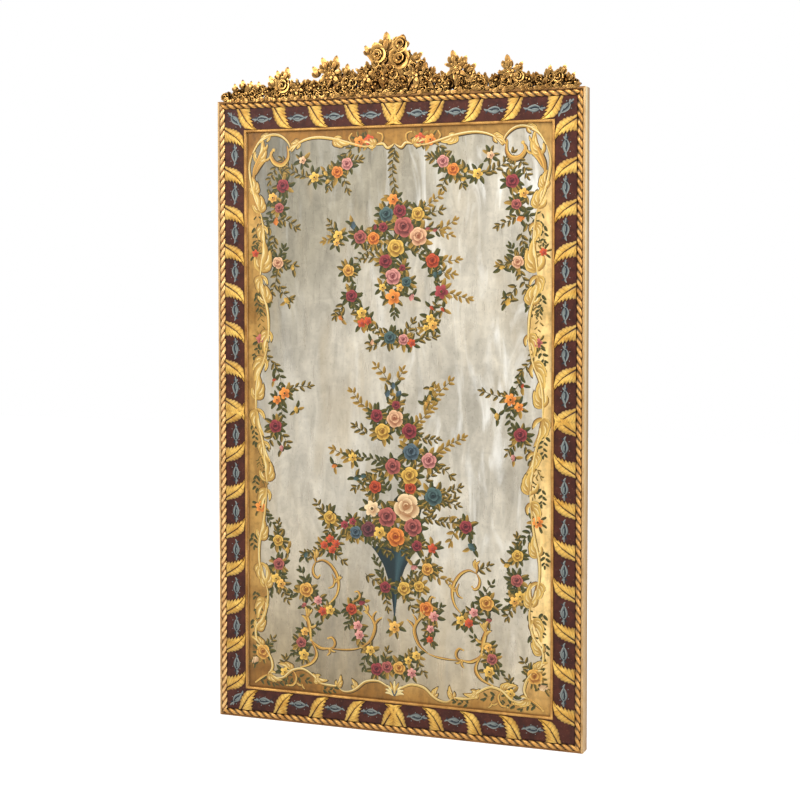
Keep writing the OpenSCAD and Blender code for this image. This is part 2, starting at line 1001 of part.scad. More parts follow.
module crest_centre() {
    crest_piece(-centre_half, centre_half, [84, 104, 128, 150, 150, 132, 108, 80]) {
        rose(-56, 128, 32);
        rose(16, 114, 33);
        rose(20, 156, 26);
        bud(-26, crest_h - 58, 58, 0);
        bud(-82, 126, 34, -28);
        bud(66, 104, 36, 52);
        bud(98, 62, 36, 8);
        fan(-100, 62, 34, [20 : 60 : 320]);
        fan(66, 62, 32, [0 : 60 : 300]);
        floret(-24, 60, 20);
        floret(30, 40, 18);
        floret(-62, 34, 17);
        floret(-110, 26, 15);
        floret(106, 30, 15);
        floret(0, 82, 15);
    }
}

module crest_fan_left() {
    crest_piece(-fan_end, -centre_half, [56, 60, 74, 88, 84, 78]) {
        fan(-1, 74, 38, [-40, 10, 60, 120, 165, 215, 265]);
        bud(-11, 84, 46, -24);
        bud(11, 86, 46, 14);
        bud(-39, 66, 40, -34);
        bud(53, 68, 36, 10);
        floret(55, 42, 20);
        floret(-55, 38, 18);
        floret(-17, 26, 15);
        floret(25, 26, 15);
    }
}

module crest_fan_right() {
    crest_piece(centre_half, fan_end, [58, 62, 76, 76, 60, 52]) {
        fan(-11, 72, 38, [-35, 10, 60, 105, 160, 215, 265]);
        bud(-17, 84, 45, -10);
        bud(3, 72, 42, 26);
        bud(25, 58, 38, 46);
        floret(-65, 36, 19);
        floret(-35, 26, 15);
        floret(9, 26, 15);
        floret(61, 34, 19);
    }
}

module crest_rose_left() {
    crest_piece(-end_start, -fan_end, [46, 52, 60, 60, 56]) {
        rose(-4, 46, 29);
        bud(5, 62, 42, 14);
        bud(-15, 62, 32, -14);
        bud(-31, 42, 40, -30);
        fan(47, 36, 26, [30 : 60 : 330]);
        floret(-55, 28, 17);
        floret(59, 24, 14);
    }
}

module crest_fan_outer() {
    crest_piece(fan_end, end_start, [46, 56, 60, 54, 46]) {
        fan(-5, 52, 34, [-20, 30, 80, 130, 180, 230, 280]);
        bud(-9, 62, 45, -4);
        bud(21, 56, 32, 30);
        rose(25, 40, 20);
        floret(-47, 30, 18);
        floret(59, 28, 16);
    }
}

module crest_end_left() {
    crest_piece(-crest_tip, -end_start, [20, 36, 50, 52, 46]) {
        bud(-23, 30, 28, -10);
        bud(3, 38, 31, -4);
        bud(29, 34, 30, 6);
        bud(57, 32, 29, 4);
        floret(-52, 20, 13);
        floret(-11, 26, 15);
        floret(27, 24, 15);
        floret(55, 22, 14);
    }
}

module crest_end_right() {
    crest_piece(end_start, crest_tip, [46, 50, 52, 42, 20]) {
        bud(-27, 38, 31, 8);
        bud(13, 40, 32, 22);
        bud(39, 20, 28, 30);
        rose(1, 34, 19);
        floret(-51, 26, 16);
        floret(-27, 22, 13);
        floret(37, 22, 14);
    }
}

stile_left();
stile_right();
rail_top();
rail_bottom();
mitre_keys();
rope_left();
rope_right();
rope_top();
rope_bottom();
fillet_left();
fillet_right();
fillet_top();
fillet_bottom();
leaves_left();
leaves_right();
leaves_top();
leaves_bottom();
mirror_plate();
setting_blocks();
plate_underlay();
backing_board();
board_screws();
corner_braces();
corner_screws();
crest_strip();
crest_screws();
crest_props();
crest_centre();
crest_fan_left();
crest_fan_right();
crest_rose_left();
crest_fan_outer();
crest_end_left();
crest_end_right();
back_rail();
back_post_left();
back_post_right();
lap_screws();
base_pads();
hinge_plates_left();
hinge_plates_right();
hinge_pins();
hinge_plate_screws();
foot_upright_left();
foot_runner_left();
foot_brace_left();
hinge_flaps_left();
flap_screws_left();
foot_pad_left();
foot_upright_right();
foot_runner_right();
foot_brace_right();
hinge_flaps_right();
flap_screws_right();
foot_pad_right();
tie_straps();
tie_screws();
tie_ring_left();
tie_ring_right();
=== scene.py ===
import functools
import math
import random

import bmesh
import bpy
from bpy.props import FloatProperty, FloatVectorProperty, IntProperty, PointerProperty
from mathutils import Matrix, Vector


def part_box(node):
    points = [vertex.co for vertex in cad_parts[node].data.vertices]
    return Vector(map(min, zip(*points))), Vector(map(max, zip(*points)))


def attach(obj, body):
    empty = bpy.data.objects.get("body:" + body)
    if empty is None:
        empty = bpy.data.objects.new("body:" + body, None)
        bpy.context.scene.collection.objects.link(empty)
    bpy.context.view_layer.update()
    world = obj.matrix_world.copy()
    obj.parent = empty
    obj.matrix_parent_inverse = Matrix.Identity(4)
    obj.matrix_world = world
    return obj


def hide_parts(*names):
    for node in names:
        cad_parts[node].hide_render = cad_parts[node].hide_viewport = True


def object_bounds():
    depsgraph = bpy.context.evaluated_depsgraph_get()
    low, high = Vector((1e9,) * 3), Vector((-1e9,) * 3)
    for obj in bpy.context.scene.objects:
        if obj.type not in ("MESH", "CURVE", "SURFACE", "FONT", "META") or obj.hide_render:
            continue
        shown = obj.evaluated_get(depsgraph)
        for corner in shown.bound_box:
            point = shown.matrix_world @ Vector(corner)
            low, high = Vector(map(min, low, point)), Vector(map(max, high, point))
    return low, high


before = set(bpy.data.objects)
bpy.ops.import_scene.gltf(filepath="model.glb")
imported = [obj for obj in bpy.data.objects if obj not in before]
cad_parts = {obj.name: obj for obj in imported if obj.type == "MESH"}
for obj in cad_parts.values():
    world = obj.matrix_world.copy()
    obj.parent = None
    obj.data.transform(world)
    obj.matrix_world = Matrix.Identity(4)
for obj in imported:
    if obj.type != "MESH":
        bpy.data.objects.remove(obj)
CAD_BOX = [list(corner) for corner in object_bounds()]

bl_info = {
    "name": "Painted standing mirror",
    "version": (1, 0, 0),
    "blender": (4, 5, 0),
    "location": "View3D > Sidebar > Mirror",
    "description": "Carves, gilds and paints a standing mirror round its packed frame",
    "category": "Add Mesh",
}

MM = 0.001
TINT = "tint"
BLADE = "blade"

# Places that come from the frame
LIP_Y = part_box("stile_left")[0][1]
HALF_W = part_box("stile_right")[1][0]
TOP_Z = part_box("rail_top")[1][2]
PLATE_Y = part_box("mirror_plate")[0][1]
SIGHT_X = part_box("fillet_right")[0][0]
SIGHT_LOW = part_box("fillet_bottom")[1][2]
SIGHT_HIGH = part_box("fillet_top")[0][2]
FRAME_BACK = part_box("stile_left")[1][1]
ROPE_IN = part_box("rope_left")[1][0] + HALF_W
FILLET_OUT = HALF_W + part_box("fillet_left")[0][0]
CREST_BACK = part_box("crest_centre")[1][1]
CREST_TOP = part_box("crest_centre")[1][2]
STRIP_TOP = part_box("crest_strip")[1][2]

# Paint and gold colours, deep and light, as they look; for the rope, the carving and the frieze leaves they
# run from painted shade to a painted highlight
INKS = {
    "pink": ((92, 16, 30), (238, 166, 152)),
    "crimson": ((44, 10, 18), (170, 72, 74)),
    "mauve": ((50, 12, 18), (202, 112, 100)),
    "plum": ((30, 10, 18), (132, 74, 76)),
    "red": ((84, 18, 10), (216, 94, 58)),
    "orange": ((118, 32, 8), (250, 156, 72)),
    "amber": ((112, 46, 8), (250, 194, 96)),
    "yellow": ((104, 58, 6), (246, 200, 96)),
    "peach": ((124, 56, 28), (250, 202, 156)),
    "cream": ((146, 86, 40), (252, 222, 172)),
    "teal": ((8, 20, 24), (92, 118, 114)),
    "blue": ((10, 22, 30), (100, 120, 128)),
    "green": ((14, 18, 8), (88, 90, 40)),
    "olive": ((28, 24, 8), (118, 102, 46)),
    "straw": ((62, 42, 10), (204, 162, 76)),
    "scroll": ((122, 74, 18), (244, 204, 112)),
    "pale": ((196, 156, 78), (254, 240, 182)),
    "shadow": ((34, 26, 8), (88, 68, 28)),
    "vase": ((3, 8, 11), (62, 88, 92)),
    "husk": ((36, 44, 48), (158, 166, 160)),
    "husk_dark": ((10, 14, 20), (34, 44, 54)),
    "leaf_gold": ((80, 50, 14), (252, 224, 144)),
    "carved": ((78, 44, 16), (255, 244, 206)),
    "rope": ((48, 24, 8), (222, 186, 126)),
    "lit_rope": ((150, 104, 58), (246, 230, 204)),
}


def linear(colour):
    """An 0 to 255 colour as Blender's linear one"""
    shares = [part / 255 for part in colour]
    flat = [s / 12.92 if s <= 0.04045 else ((s + 0.055) / 1.055) ** 2.4 for s in shares]
    return (*flat, 1.0)


@functools.cache
def ink_ends(name):
    """An ink's deep and light colours as Blender's linear ones"""
    return tuple(Vector(linear(ink)) for ink in INKS[name])


def blend_inks(name, share):
    """A colour between an ink's deep and light ones"""
    deep, light = ink_ends(name)
    return deep.lerp(light, max(0.0, min(1.0, share)))


# Sizes and colours that a user would change
class MouldingSettings(bpy.types.PropertyGroup):
    strand_pitch: FloatProperty(
        name="Strand pitch", description="Length in which a strand of the rope goes round once",
        default=0.05, unit="LENGTH")
    strands: IntProperty(
        name="Strands", description="Strands in the rope moulding", default=2, min=2, max=6)
    strand_depth: FloatProperty(
        name="Strand depth", description="Depth of the grooves as a share of the rope's radius",
        default=0.42, subtype="FACTOR")
    leaf_pitch: FloatProperty(
        name="Leaf pitch", description="Distance from one frieze leaf to the next",
        default=0.125, unit="LENGTH")
    leaf_width: FloatProperty(
        name="Leaf width", description="Width of a frieze leaf at the rope",
        default=0.051, unit="LENGTH")
    leaf_relief: FloatProperty(
        name="Leaf relief", description="Height of a frieze leaf's crown", default=0.0042, unit="LENGTH")
    frieze_colour: FloatVectorProperty(
        name="Frieze colour", description="Paint between the leaves", subtype="COLOR",
        default=linear((70, 33, 24))[:3])


class CarvingSettings(bpy.types.PropertyGroup):
    leaf_length: FloatProperty(
        name="Leaf length", description="Length of a carved leaf between the flowers",
        default=0.037, unit="LENGTH")
    leaf_step: FloatProperty(
        name="Leaf step", description="Distance between the leaves of a row", default=0.018, unit="LENGTH")
    seed: IntProperty(name="Seed", description="Seed of the leaves' directions", default=11)


class PaintingSettings(bpy.types.PropertyGroup):
    paint_rise: FloatProperty(
        name="Paint rise", description="Thickness of a stroke of paint", default=0.0004, unit="LENGTH")
    gilding_rise: FloatProperty(
        name="Gilding rise", description="Thickness of the gilt border on the plate",
        default=0.0002, unit="LENGTH")
    silver: FloatVectorProperty(
        name="Silver", description="Colour of the aged silvering", subtype="COLOR",
        default=linear((187, 179, 162))[:3])
    flower_size: FloatProperty(
        name="Flower size", description="Size of the painted flowers over their drawn size", default=1.16)
    leaf_size: FloatProperty(
        name="Painted leaf", description="Length of a painted leaf in millimetres", default=23.0)
    seed: IntProperty(name="Seed", description="Seed of the leaves round the flowers", default=5)


class StageSettings(bpy.types.PropertyGroup):
    camera_place: FloatVectorProperty(
        name="Camera place", description="Where the camera stands", subtype="XYZ",
        default=(1.803, -4.836, 1.438))
    camera_turn: FloatProperty(
        name="Camera turn", description="Turn of the camera to the left",
        default=math.radians(21.0), subtype="ANGLE")
    camera_dip: FloatProperty(
        name="Camera dip", description="Angle of the view below the horizon",
        default=math.radians(2.15), subtype="ANGLE")
    lens: FloatProperty(name="Lens", description="Focal length in millimetres", default=72.0)
    rise: FloatProperty(name="Rise", description="Camera's upward shift", default=-0.08)
    daylight: FloatProperty(
        name="Daylight", description="Strength of the light from all round", default=0.42)


SETTINGS = {
    "mirror_moulding": MouldingSettings,
    "mirror_carving": CarvingSettings,
    "mirror_painting": PaintingSettings,
    "mirror_stage": StageSettings,
}


# Closed forms, each drawn out of a globe
def tray():
    """An empty bmesh whose points carry a tint"""
    bm = bmesh.new()
    bm.verts.layers.float_color.new(TINT)
    bm.verts.layers.float_vector.new(BLADE)
    return bm


def face_outward(bm):
    """Turns the faces of one closed form outward, by the sign of its volume"""
    bmesh.ops.recalc_face_normals(bm, faces=bm.faces)
    if bm.calc_volume(signed=True) < 0:
        bmesh.ops.reverse_faces(bm, faces=bm.faces)


def lay(bm, part):
    """Adds a finished small bmesh to a tray, which is far quicker than an operator on the whole tray"""
    face_outward(part)
    mesh = bpy.data.meshes.new("part")
    part.to_mesh(mesh)
    part.free()
    bm.from_mesh(mesh)
    bpy.data.meshes.remove(mesh)


@functools.cache
def globe(sides, rings):
    """A round form to be copied, with the places of its points as (share, across, out)

    share runs from one pole to the other, and across and out turn round the axis between them."""
    bm = tray()
    bmesh.ops.create_uvsphere(bm, u_segments=sides, v_segments=rings, radius=1.0)
    places = []
    for x, y, z in (vert.co for vert in bm.verts):
        girth = math.hypot(x, y)
        share = math.acos(max(-1.0, min(1.0, -z))) / math.pi
        across, out = (x / girth, y / girth) if girth > 1e-4 else (0.0, 0.0)
        places.append((round(share, 5), across, out))
    return bm, places


def form(bm, sides, rings, shape, tint):
    """A globe whose points move to shape(share, across, out) and take tint(share, across, out)"""
    source, places = globe(sides, rings)
    part = source.copy()
    layer = part.verts.layers.float_color[TINT]
    for vert, (share, across, out) in zip(part.verts, places):
        vert.co = shape(share, across, out)
        vert[layer] = tint(share, across, out)
    lay(bm, part)


def along(points, share):
    """The place at a share of a smooth line through points"""
    last = len(points) - 1
    span = min(max(share, 0.0), 1.0) * last
    i = min(int(span), last - 1)
    t = span - i
    before, start = points[max(i - 1, 0)], points[i]
    end, after = points[i + 1], points[min(i + 2, last)]
    return 0.5 * (
        2 * start + (end - before) * t
        + (2 * before - 5 * start + 4 * end - after) * t ** 2
        + (3 * start - before - 3 * end + after) * t ** 3)


def bulge(share):
    """0 at both ends and 1 in the middle, round between"""
    return math.sin(math.pi * share)


def leafy(share):
    """Width of a leaf along its length: full below the middle, with a sharp tip"""
    return max(0.0, math.sin(math.pi * share ** 0.8)) ** 0.85


def even(share):
    """Width of a stem or line: even, with round ends"""
    return min(1.0, 9 * share + 0.25, 9 * (1 - share) + 0.25)


def swelling(share):
    """Width of a C-scroll: thin at both ends, thick between"""
    return 0.25 + 0.75 * bulge(share)


def stroke(bm, place, points, width, rise, ink, width_at=leafy, sides=6, rings=None, tone=0.45):
    """A raised brush stroke along points, which are in millimetres"""
    line = [Vector(point) * MM for point in points]
    rings = rings or 3 * len(points)
    nudge = 0.01
    lit_side, lit_tip, thin = 0.35, 0.3, 0.2

    @functools.cache
    def ring(share):
        run = along(line, share + nudge) - along(line, share - nudge)
        side = Vector((-run.y, run.x)).normalized() * (width * MM * width_at(share))
        return along(line, share), side, rise * min(1.0, width_at(share) + thin)

    def shape(share, across, out):
        here, side, high = ring(share)
        spot = here + side * across
        return place(spot.x, spot.y, out * high)

    def tint(share, across, out):
        return blend_inks(ink, tone + lit_side * across + lit_tip * (share - 0.4))

    form(bm, sides, rings, shape, tint)


def spot(bm, place, centre, radius, rise, ink, heart, rim, sides):
    """A raised round dab of paint, tinted from heart to rim"""
    rings = 4
    x, z = centre[0] * MM, centre[1] * MM

    def shape(share, across, out):
        reach = radius * MM * bulge(share)
        return place(x + reach * across, z + reach * out, rise * math.cos(math.pi * share))

    def tint(share, across, out):
        return blend_inks(ink, heart + (rim - heart) * bulge(share))

    form(bm, sides, rings, shape, tint)


def polar(centre, angle, reach):
    """The point at an angle in degrees and a distance from centre"""
    turn = math.radians(angle)
    return (centre[0] + math.cos(turn) * reach, centre[1] + math.sin(turn) * reach)


def blade(bm, place, base, angle, length, width, rise, ink, bend=0.0):
    """One leaf or petal, from its base, bent to one side by a share of its length"""
    middle = polar(base, angle, length * 0.5)
    middle = polar(middle, angle + 90, length * bend)
    stroke(bm, place, (base, middle, polar(base, angle, length)), width, rise, ink, rings=6)


# The rings of a petalled form: one at its back and one at its foot, then four for each row of petals
BACK_RINGS = 3
ROW_RINGS = 4


def petalled(bm, put, rows, heart, ink, sides, cut, tones=(0.0, 1.0)):
    """A flower in one closed form, whose rows of petals climb outward from a sunk foot to a rim

    rows go from the outside in, each (petals, rim's radius, foot's height, rim's height, turn),
    heart is the height of the middle, cut the depth of the notches between petals as a share of
    the radius, and put(x, z, height) gives the final place."""
    rings = BACK_RINGS + ROW_RINGS * len(rows)

    def rim(row, angle):
        petals, radius, _, _, turn = rows[row]
        notch = (1 - abs(math.cos(petals * (angle - turn) / 2))) ** 1.5
        return radius * (1 - cut * notch), notch

    def ring(index, angle):
        if index in (0, rings):
            return 0.0, heart if index else 0.0, 0.2
        if index < BACK_RINGS:
            return rim(0, angle)[0] * (0.6, 0.94)[index - 1], 0.0, 0.0
        row, step = divmod(index - BACK_RINGS, ROW_RINGS)
        petals, _, foot, top, turn = rows[row]
        edge, notch = rim(row, angle)
        inner = rim(row + 1, angle)[0] if row + 1 < len(rows) else edge * 0.3
        lean = (petals * (angle - turn) / (2 * math.pi) + 0.5) % 1.0 - 0.5
        high = top - (top - foot) * (0.4 * notch - 0.35 * lean)
        if step == 0:
            return edge, high - 0.2 * (top - foot), 0.72 - 0.5 * notch
        if step == 1:
            return edge - 0.16 * (edge - inner), high, 1.0 - 0.5 * notch
        if step == 2:
            return inner + 0.45 * (edge - inner), foot + 0.5 * (high - foot), 0.55 - 0.2 * notch
        return inner * 0.97, foot, 0.16

    def ring_at(share, across, out):
        return ring(round(share * rings), math.atan2(out, across))

    def shape(share, across, out):
        reach, high, _ = ring_at(share, across, out)
        return put(reach * across, reach * out, high)

    # Painted light on the carving, and the painting's own shading on the plate: light rims, dark feet and a
    # lighter upper left side
    def tint(share, across, out):
        tone = ring_at(share, across, out)[2]
        return blend_inks(ink, tones[0] + (tones[1] - tones[0]) * tone + 0.2 * (out - across))

    form(bm, sides, rings, shape, tint)


def arc_stroke(bm, place, centre, radius, start, sweep, width, rise, ink, width_at, tone=0.45):
    """A stroke along part of a circle, lighter on its left"""
    degrees_a_step = 35
    steps = max(2, round(abs(sweep) / degrees_a_step))
    points = [polar(centre, start + sweep * i / steps, radius) for i in range(steps + 1)]
    stroke(bm, place, points, width, rise, ink, width_at, rings=7, tone=tone)


def settle(name, bm, finish, replaced=(), crease=math.radians(50)):
    """Turns a bmesh into a finished piece that rides on the frame"""
    mesh = bpy.data.meshes.new(name)
    bm.to_mesh(mesh)
    bm.free()
    mesh.materials.append(finish)
    mesh.polygons.foreach_set("use_smooth", [True] * len(mesh.polygons))
    mesh.set_sharp_from_angle(angle=crease)
    piece = bpy.data.objects.new(name, mesh)
    bpy.context.scene.collection.objects.link(piece)
    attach(piece, "frame")
    if replaced:
        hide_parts(*replaced)
    return piece


# Materials
class Finish:
    """A material under construction: its nodes, and short calls that add and link them"""

    def __init__(self, name):
        self.material = bpy.data.materials.new(name)
        self.material.use_nodes = True
        self.tree = self.material.node_tree
        self.shader = self.tree.nodes["Principled BSDF"]
        self.where = self.node("ShaderNodeTexCoord").outputs["Object"]

    def node(self, kind, inputs=None, **settings):
        made = self.tree.nodes.new(kind)
        for name, value in settings.items():
            setattr(made, name, value)
        for name, value in (inputs or {}).items():
            self.feed(made.inputs[name], value)
        return made

    def feed(self, socket, value):
        if isinstance(value, bpy.types.NodeSocket):
            self.tree.links.new(value, socket)
        else:
            socket.default_value = value

    def stretched(self, scale):
        """Object coordinates, stretched by scale"""
        return self.node("ShaderNodeMapping", {"Vector": self.where, "Scale": scale}).outputs[0]

    def noise(self, scale, detail, vector=None, distortion=0.0):
        inputs = {"Vector": vector or self.where, "Scale": scale, "Detail": detail,
                  "Distortion": distortion}
        return self.node("ShaderNodeTexNoise", inputs).outputs["Fac"]

    def ramp(self, share, *stops):
        """A share through (position, colour or grey) stops"""
        made = self.node("ShaderNodeValToRGB", {"Fac": share})
        elements = made.color_ramp.elements
        while len(elements) < len(stops):
            elements.new(0.5)
        for element, (position, colour) in zip(elements, stops):
            element.position = position
            element.color = linear(colour) if isinstance(colour, tuple) else (colour,) * 3 + (1,)
        return made.outputs["Color"]

    def mix(self, share, low, high, how="MIX"):
        made = self.node("ShaderNodeMix", data_type="RGBA", blend_type=how)
        for socket, value in zip((0, 6, 7), (share, low, high)):
            self.feed(made.inputs[socket], value)
        return made.outputs[2]

    def maths(self, how, first, second=0.0, clamp=False):
        made = self.node("ShaderNodeMath", operation=how, use_clamp=clamp)
        self.feed(made.inputs[0], first)
        self.feed(made.inputs[1], second)
        return made.outputs[0]

    def plus(self, first, second):
        return self.maths("ADD", first, second)

    def minus(self, first, second, clamp=False):
        return self.maths("SUBTRACT", first, second, clamp)

    def times(self, first, second, clamp=False):
        return self.maths("MULTIPLY", first, second, clamp)

    def parts(self, vector=None):
        """The three parts of a vector, by default of the object coordinates"""
        return self.node("ShaderNodeSeparateXYZ", {"Vector": vector or self.where}).outputs

    def hollows(self, reach):
        """0 in the open and 1 deep in a hollow"""
        shade = self.node("ShaderNodeAmbientOcclusion", {"Distance": reach}, samples=8)
        return self.minus(1.0, shade.outputs["AO"], clamp=True)

    def tint(self):
        return self.node("ShaderNodeAttribute", attribute_name=TINT).outputs["Color"]

    def bump(self, height, strength, reach):
        made = self.node("ShaderNodeBump", {"Height": height, "Strength": strength, "Distance": reach})
        self.feed(self.shader.inputs["Normal"], made.outputs[0])

    def done(self, colour, roughness, metallic=0.0, shine=0.5):
        for name, value in (("Base Color", colour), ("Roughness", roughness), ("Metallic", metallic),
                            ("Specular IOR Level", shine)):
            self.feed(self.shader.inputs[name], value)
        return self.material


def gold_tone(finish, light, deep, scale):
    """Leaf gold's own colour: clouds of two tones with fine specks"""
    clouds = finish.ramp(finish.noise(scale, 5.0, distortion=0.6), (0.32, deep), (0.66, light))
    specks = finish.ramp(finish.noise(scale * 11, 4.0), (0.34, 0.62), (0.52, 1.0))
    return finish.mix(0.55, clouds, specks, "MULTIPLY")


def gilding(name, light, deep, hollow, scale, metal, reach=0.012, patina_and_shade=0.85, tinted=False,
            open_to=0.12, shut_at=0.62, polish=0.0):
    """Aged gold leaf, dark in its hollows with patina and painted shade, which count from open_to and are
    full at shut_at
    """
    finish = Finish(name)
    tone = gold_tone(finish, light, deep, scale)
    if tinted:
        tone = finish.mix(0.9, tone, finish.tint(), "MULTIPLY")
    # Patina and painted shade darken the hollows
    depth = finish.ramp(finish.hollows(reach), (open_to, 0.0), (shut_at, 1.0))
    share = finish.times(depth, patina_and_shade)
    colour = finish.mix(share, tone, linear(hollow))
    finish.bump(finish.noise(scale * 20, 4.0), 0.22, 0.0006)
    rough = finish.ramp(finish.noise(scale * 3, 3.0), (0.3, 0.30 - polish), (0.7, 0.52 - polish))
    return finish.done(colour, rough, metal)


def border_gilding():
    """Brushed leaf gold on the plate, with painted light that makes it paler to the right, and painted
    shade that makes it browner along the top and bottom and darker in its hollows
    """
    finish = Finish("gilt_border")
    parts = finish.parts()
    # Painted light: a darker gold on the left turns to a paler, lit gold on the right
    left = gold_tone(finish, (206, 162, 88), (148, 106, 46), 7.0)
    right = gold_tone(finish, (255, 220, 150), (210, 168, 96), 7.0)
    tone = finish.mix(finish.ramp(finish.plus(parts["X"], 0.5), (0.35, 0.0), (0.96, 1.0)), left, right)
    # Painted shade: browner along the top and bottom
    ends = finish.ramp(finish.times(parts["Z"], 0.5), (0.06, (190, 170, 132)), (0.14, 1.0),
                       (0.86, 1.0), (0.92, (192, 174, 142)))
    tone = finish.mix(1.0, tone, ends, "MULTIPLY")
    brushed = finish.noise(9.0, 6.0, finish.stretched((7.0, 1.0, 1.2)), 0.8)
    tone = finish.mix(0.8, tone, finish.ramp(brushed, (0.32, 0.74), (0.66, 1.08)), "MULTIPLY")
    # Painted shade in the hollows beside the fillets and the scrolls
    depth = finish.ramp(finish.hollows(0.03), (0.12, 0.0), (0.62, 0.5))
    colour = finish.mix(depth, tone, linear((84, 58, 22)))
    finish.bump(finish.noise(140.0, 4.0), 0.22, 0.0006)
    return finish.done(colour, finish.ramp(brushed, (0.3, 0.30), (0.7, 0.48)), 0.5)


def leaf_gilding():
    """Pale leaf gold with a dark sunk rib and fine dark veins that run out to the teeth"""
    finish = Finish("gilt_leaves")
    parts = finish.parts(finish.node("ShaderNodeAttribute", attribute_name=BLADE).outputs["Vector"])
    aside = finish.maths("ABSOLUTE", parts["X"])
    phase = finish.minus(finish.times(parts["Y"], 6.5),
                       finish.times(aside, 1.7))
    wander = finish.times(finish.noise(60.0, 3.0), 0.5)
    lines = finish.maths("PINGPONG", finish.plus(phase, wander), 0.5)
    veins = finish.ramp(finish.times(lines, 2.0), (0.0, 0.42), (0.34, 0.0))
    rib_width = finish.minus(0.16, finish.times(parts["Y"], 0.09))
    rib = finish.minus(1.0, finish.maths("DIVIDE", aside, rib_width), clamp=True)
    rim = finish.ramp(aside, (0.93, 0.0), (1.0, 0.55))
    tone = gold_tone(finish, (255, 232, 168), (214, 176, 104), 30.0)
    tone = finish.mix(0.9, tone, finish.tint(), "MULTIPLY")
    brown = linear((74, 40, 12))
    colour = finish.mix(finish.times(veins, parts["Z"]), tone, brown)
    colour = finish.mix(finish.times(rim, parts["Z"]), colour, brown)
    colour = finish.mix(finish.times(rib, 1.6, clamp=True), colour, linear((52, 20, 10)))
    finish.bump(finish.noise(220.0, 4.0), 0.2, 0.0005)
    return finish.done(colour, 0.46, 0.15, shine=0.3)


def painted_frame(frieze):
    """Dark paint on the frieze, gold on the lip, and ochre on the sides, with a painted highlight at their
    upper front and painted shade that darkens them to the rear
    """
    finish = Finish("painted_frame")
    parts = finish.parts()
    from_side = finish.minus(HALF_W, finish.maths("ABSOLUTE", parts["X"]))
    from_end = finish.maths("MINIMUM", parts["Z"], finish.minus(TOP_Z, parts["Z"]))
    inset = finish.maths("MINIMUM", from_side, from_end)
    # The paint runs on under the rope and the fillet, and a short way in from the front
    under, paint_depth = 4 * MM, 8 * MM
    past_rope = finish.maths("GREATER_THAN", inset, ROPE_IN - under)
    before_fillet = finish.maths("LESS_THAN", inset, FILLET_OUT + under)
    in_front = finish.maths("LESS_THAN", parts["Y"], LIP_Y + paint_depth)
    painted = finish.times(finish.times(past_rope, before_fillet), in_front)
    # A face belongs to the side, the front or the back where it lies this near to it
    near = 1.2 * MM
    outside = finish.maths("LESS_THAN", inset, near)
    past_front = finish.maths("GREATER_THAN", parts["Y"], LIP_Y + 1 * MM)
    outside = finish.times(outside, past_front)
    behind = finish.maths("GREATER_THAN", parts["Y"], FRAME_BACK - 1.5 * MM)

    worn = finish.ramp(finish.noise(38.0, 6.0, distortion=0.4), (0.36, 0.55), (0.6, 1.12))
    paint = finish.mix(0.9, (*frieze, 1.0), worn, "MULTIPLY")
    rubbed = finish.ramp(finish.noise(210.0, 5.0), (0.62, 0.0), (0.72, 0.4))
    paint = finish.mix(rubbed, paint, linear((132, 88, 62)))
    # Painted shade: the paint darkens in the hollows beside the rope, the leaves and the fillet
    hollow_shade = finish.times(finish.ramp(finish.hollows(0.011), (0.2, 0.0), (0.75, 1.0)), 0.8)
    paint = finish.mix(hollow_shade, paint, linear((26, 14, 12)))

    lip = gold_tone(finish, (158, 112, 60), (104, 68, 32), 20.0)
    # Painted light: the uprights' lip is paler than the level ones', as if lit from the side
    upright = finish.maths("LESS_THAN", from_side, from_end)
    lip = finish.mix(upright, lip, gold_tone(finish, (216, 178, 124), (178, 138, 86), 20.0))
    # Painted light on the sides: a cream highlight along the upper front, and painted shade that darkens
    # them towards the rear
    depth = finish.maths("DIVIDE", finish.minus(parts["Y"], LIP_Y), FRAME_BACK - LIP_Y)
    upper = finish.ramp(finish.times(parts["Z"], 0.5), (0.3, 0.0), (0.8, 1.0))
    lit_front_edge = finish.mix(upper, linear((206, 170, 118)), linear((255, 236, 192)))
    ochre = finish.mix(finish.ramp(depth, (0.2, 0.0), (0.62, 1.0)), lit_front_edge, linear((182, 144, 94)))
    ochre = finish.mix(finish.ramp(depth, (0.6, 0.0), (1.0, 1.0)), ochre, linear((124, 98, 70)))
    streaks = finish.noise(7.0, 5.0, finish.stretched((9.0, 9.0, 0.7)))
    ochre = finish.mix(1.0, ochre, finish.ramp(streaks, (0.3, 0.88), (0.7, 1.0)), "MULTIPLY")
    bole = finish.ramp(finish.noise(5.0, 5.0, finish.stretched((14.0, 14.0, 1.0))),
                       (0.3, (150, 112, 66)), (0.7, (184, 146, 96)))

    colour = finish.mix(outside, lip, ochre)
    colour = finish.mix(behind, colour, bole)
    colour = finish.mix(painted, colour, paint)
    finish.bump(finish.noise(160.0, 4.0), 0.18, 0.0006)
    rough = finish.ramp(finish.noise(46.0, 3.0), (0.3, 0.42), (0.7, 0.6))
    return finish.done(colour, rough, shine=0.2)


def enamel():
    """Painter's enamel, its colour laid on the strokes themselves"""
    finish = Finish("enamel")
    streak = finish.ramp(finish.noise(420.0, 3.0), (0.3, 0.84), (0.7, 1.1))
    colour = finish.mix(0.8, finish.tint(), streak, "MULTIPLY")
    finish.bump(finish.noise(700.0, 2.0), 0.25, 0.0003)
    return finish.done(colour, 0.42, shine=0.3)


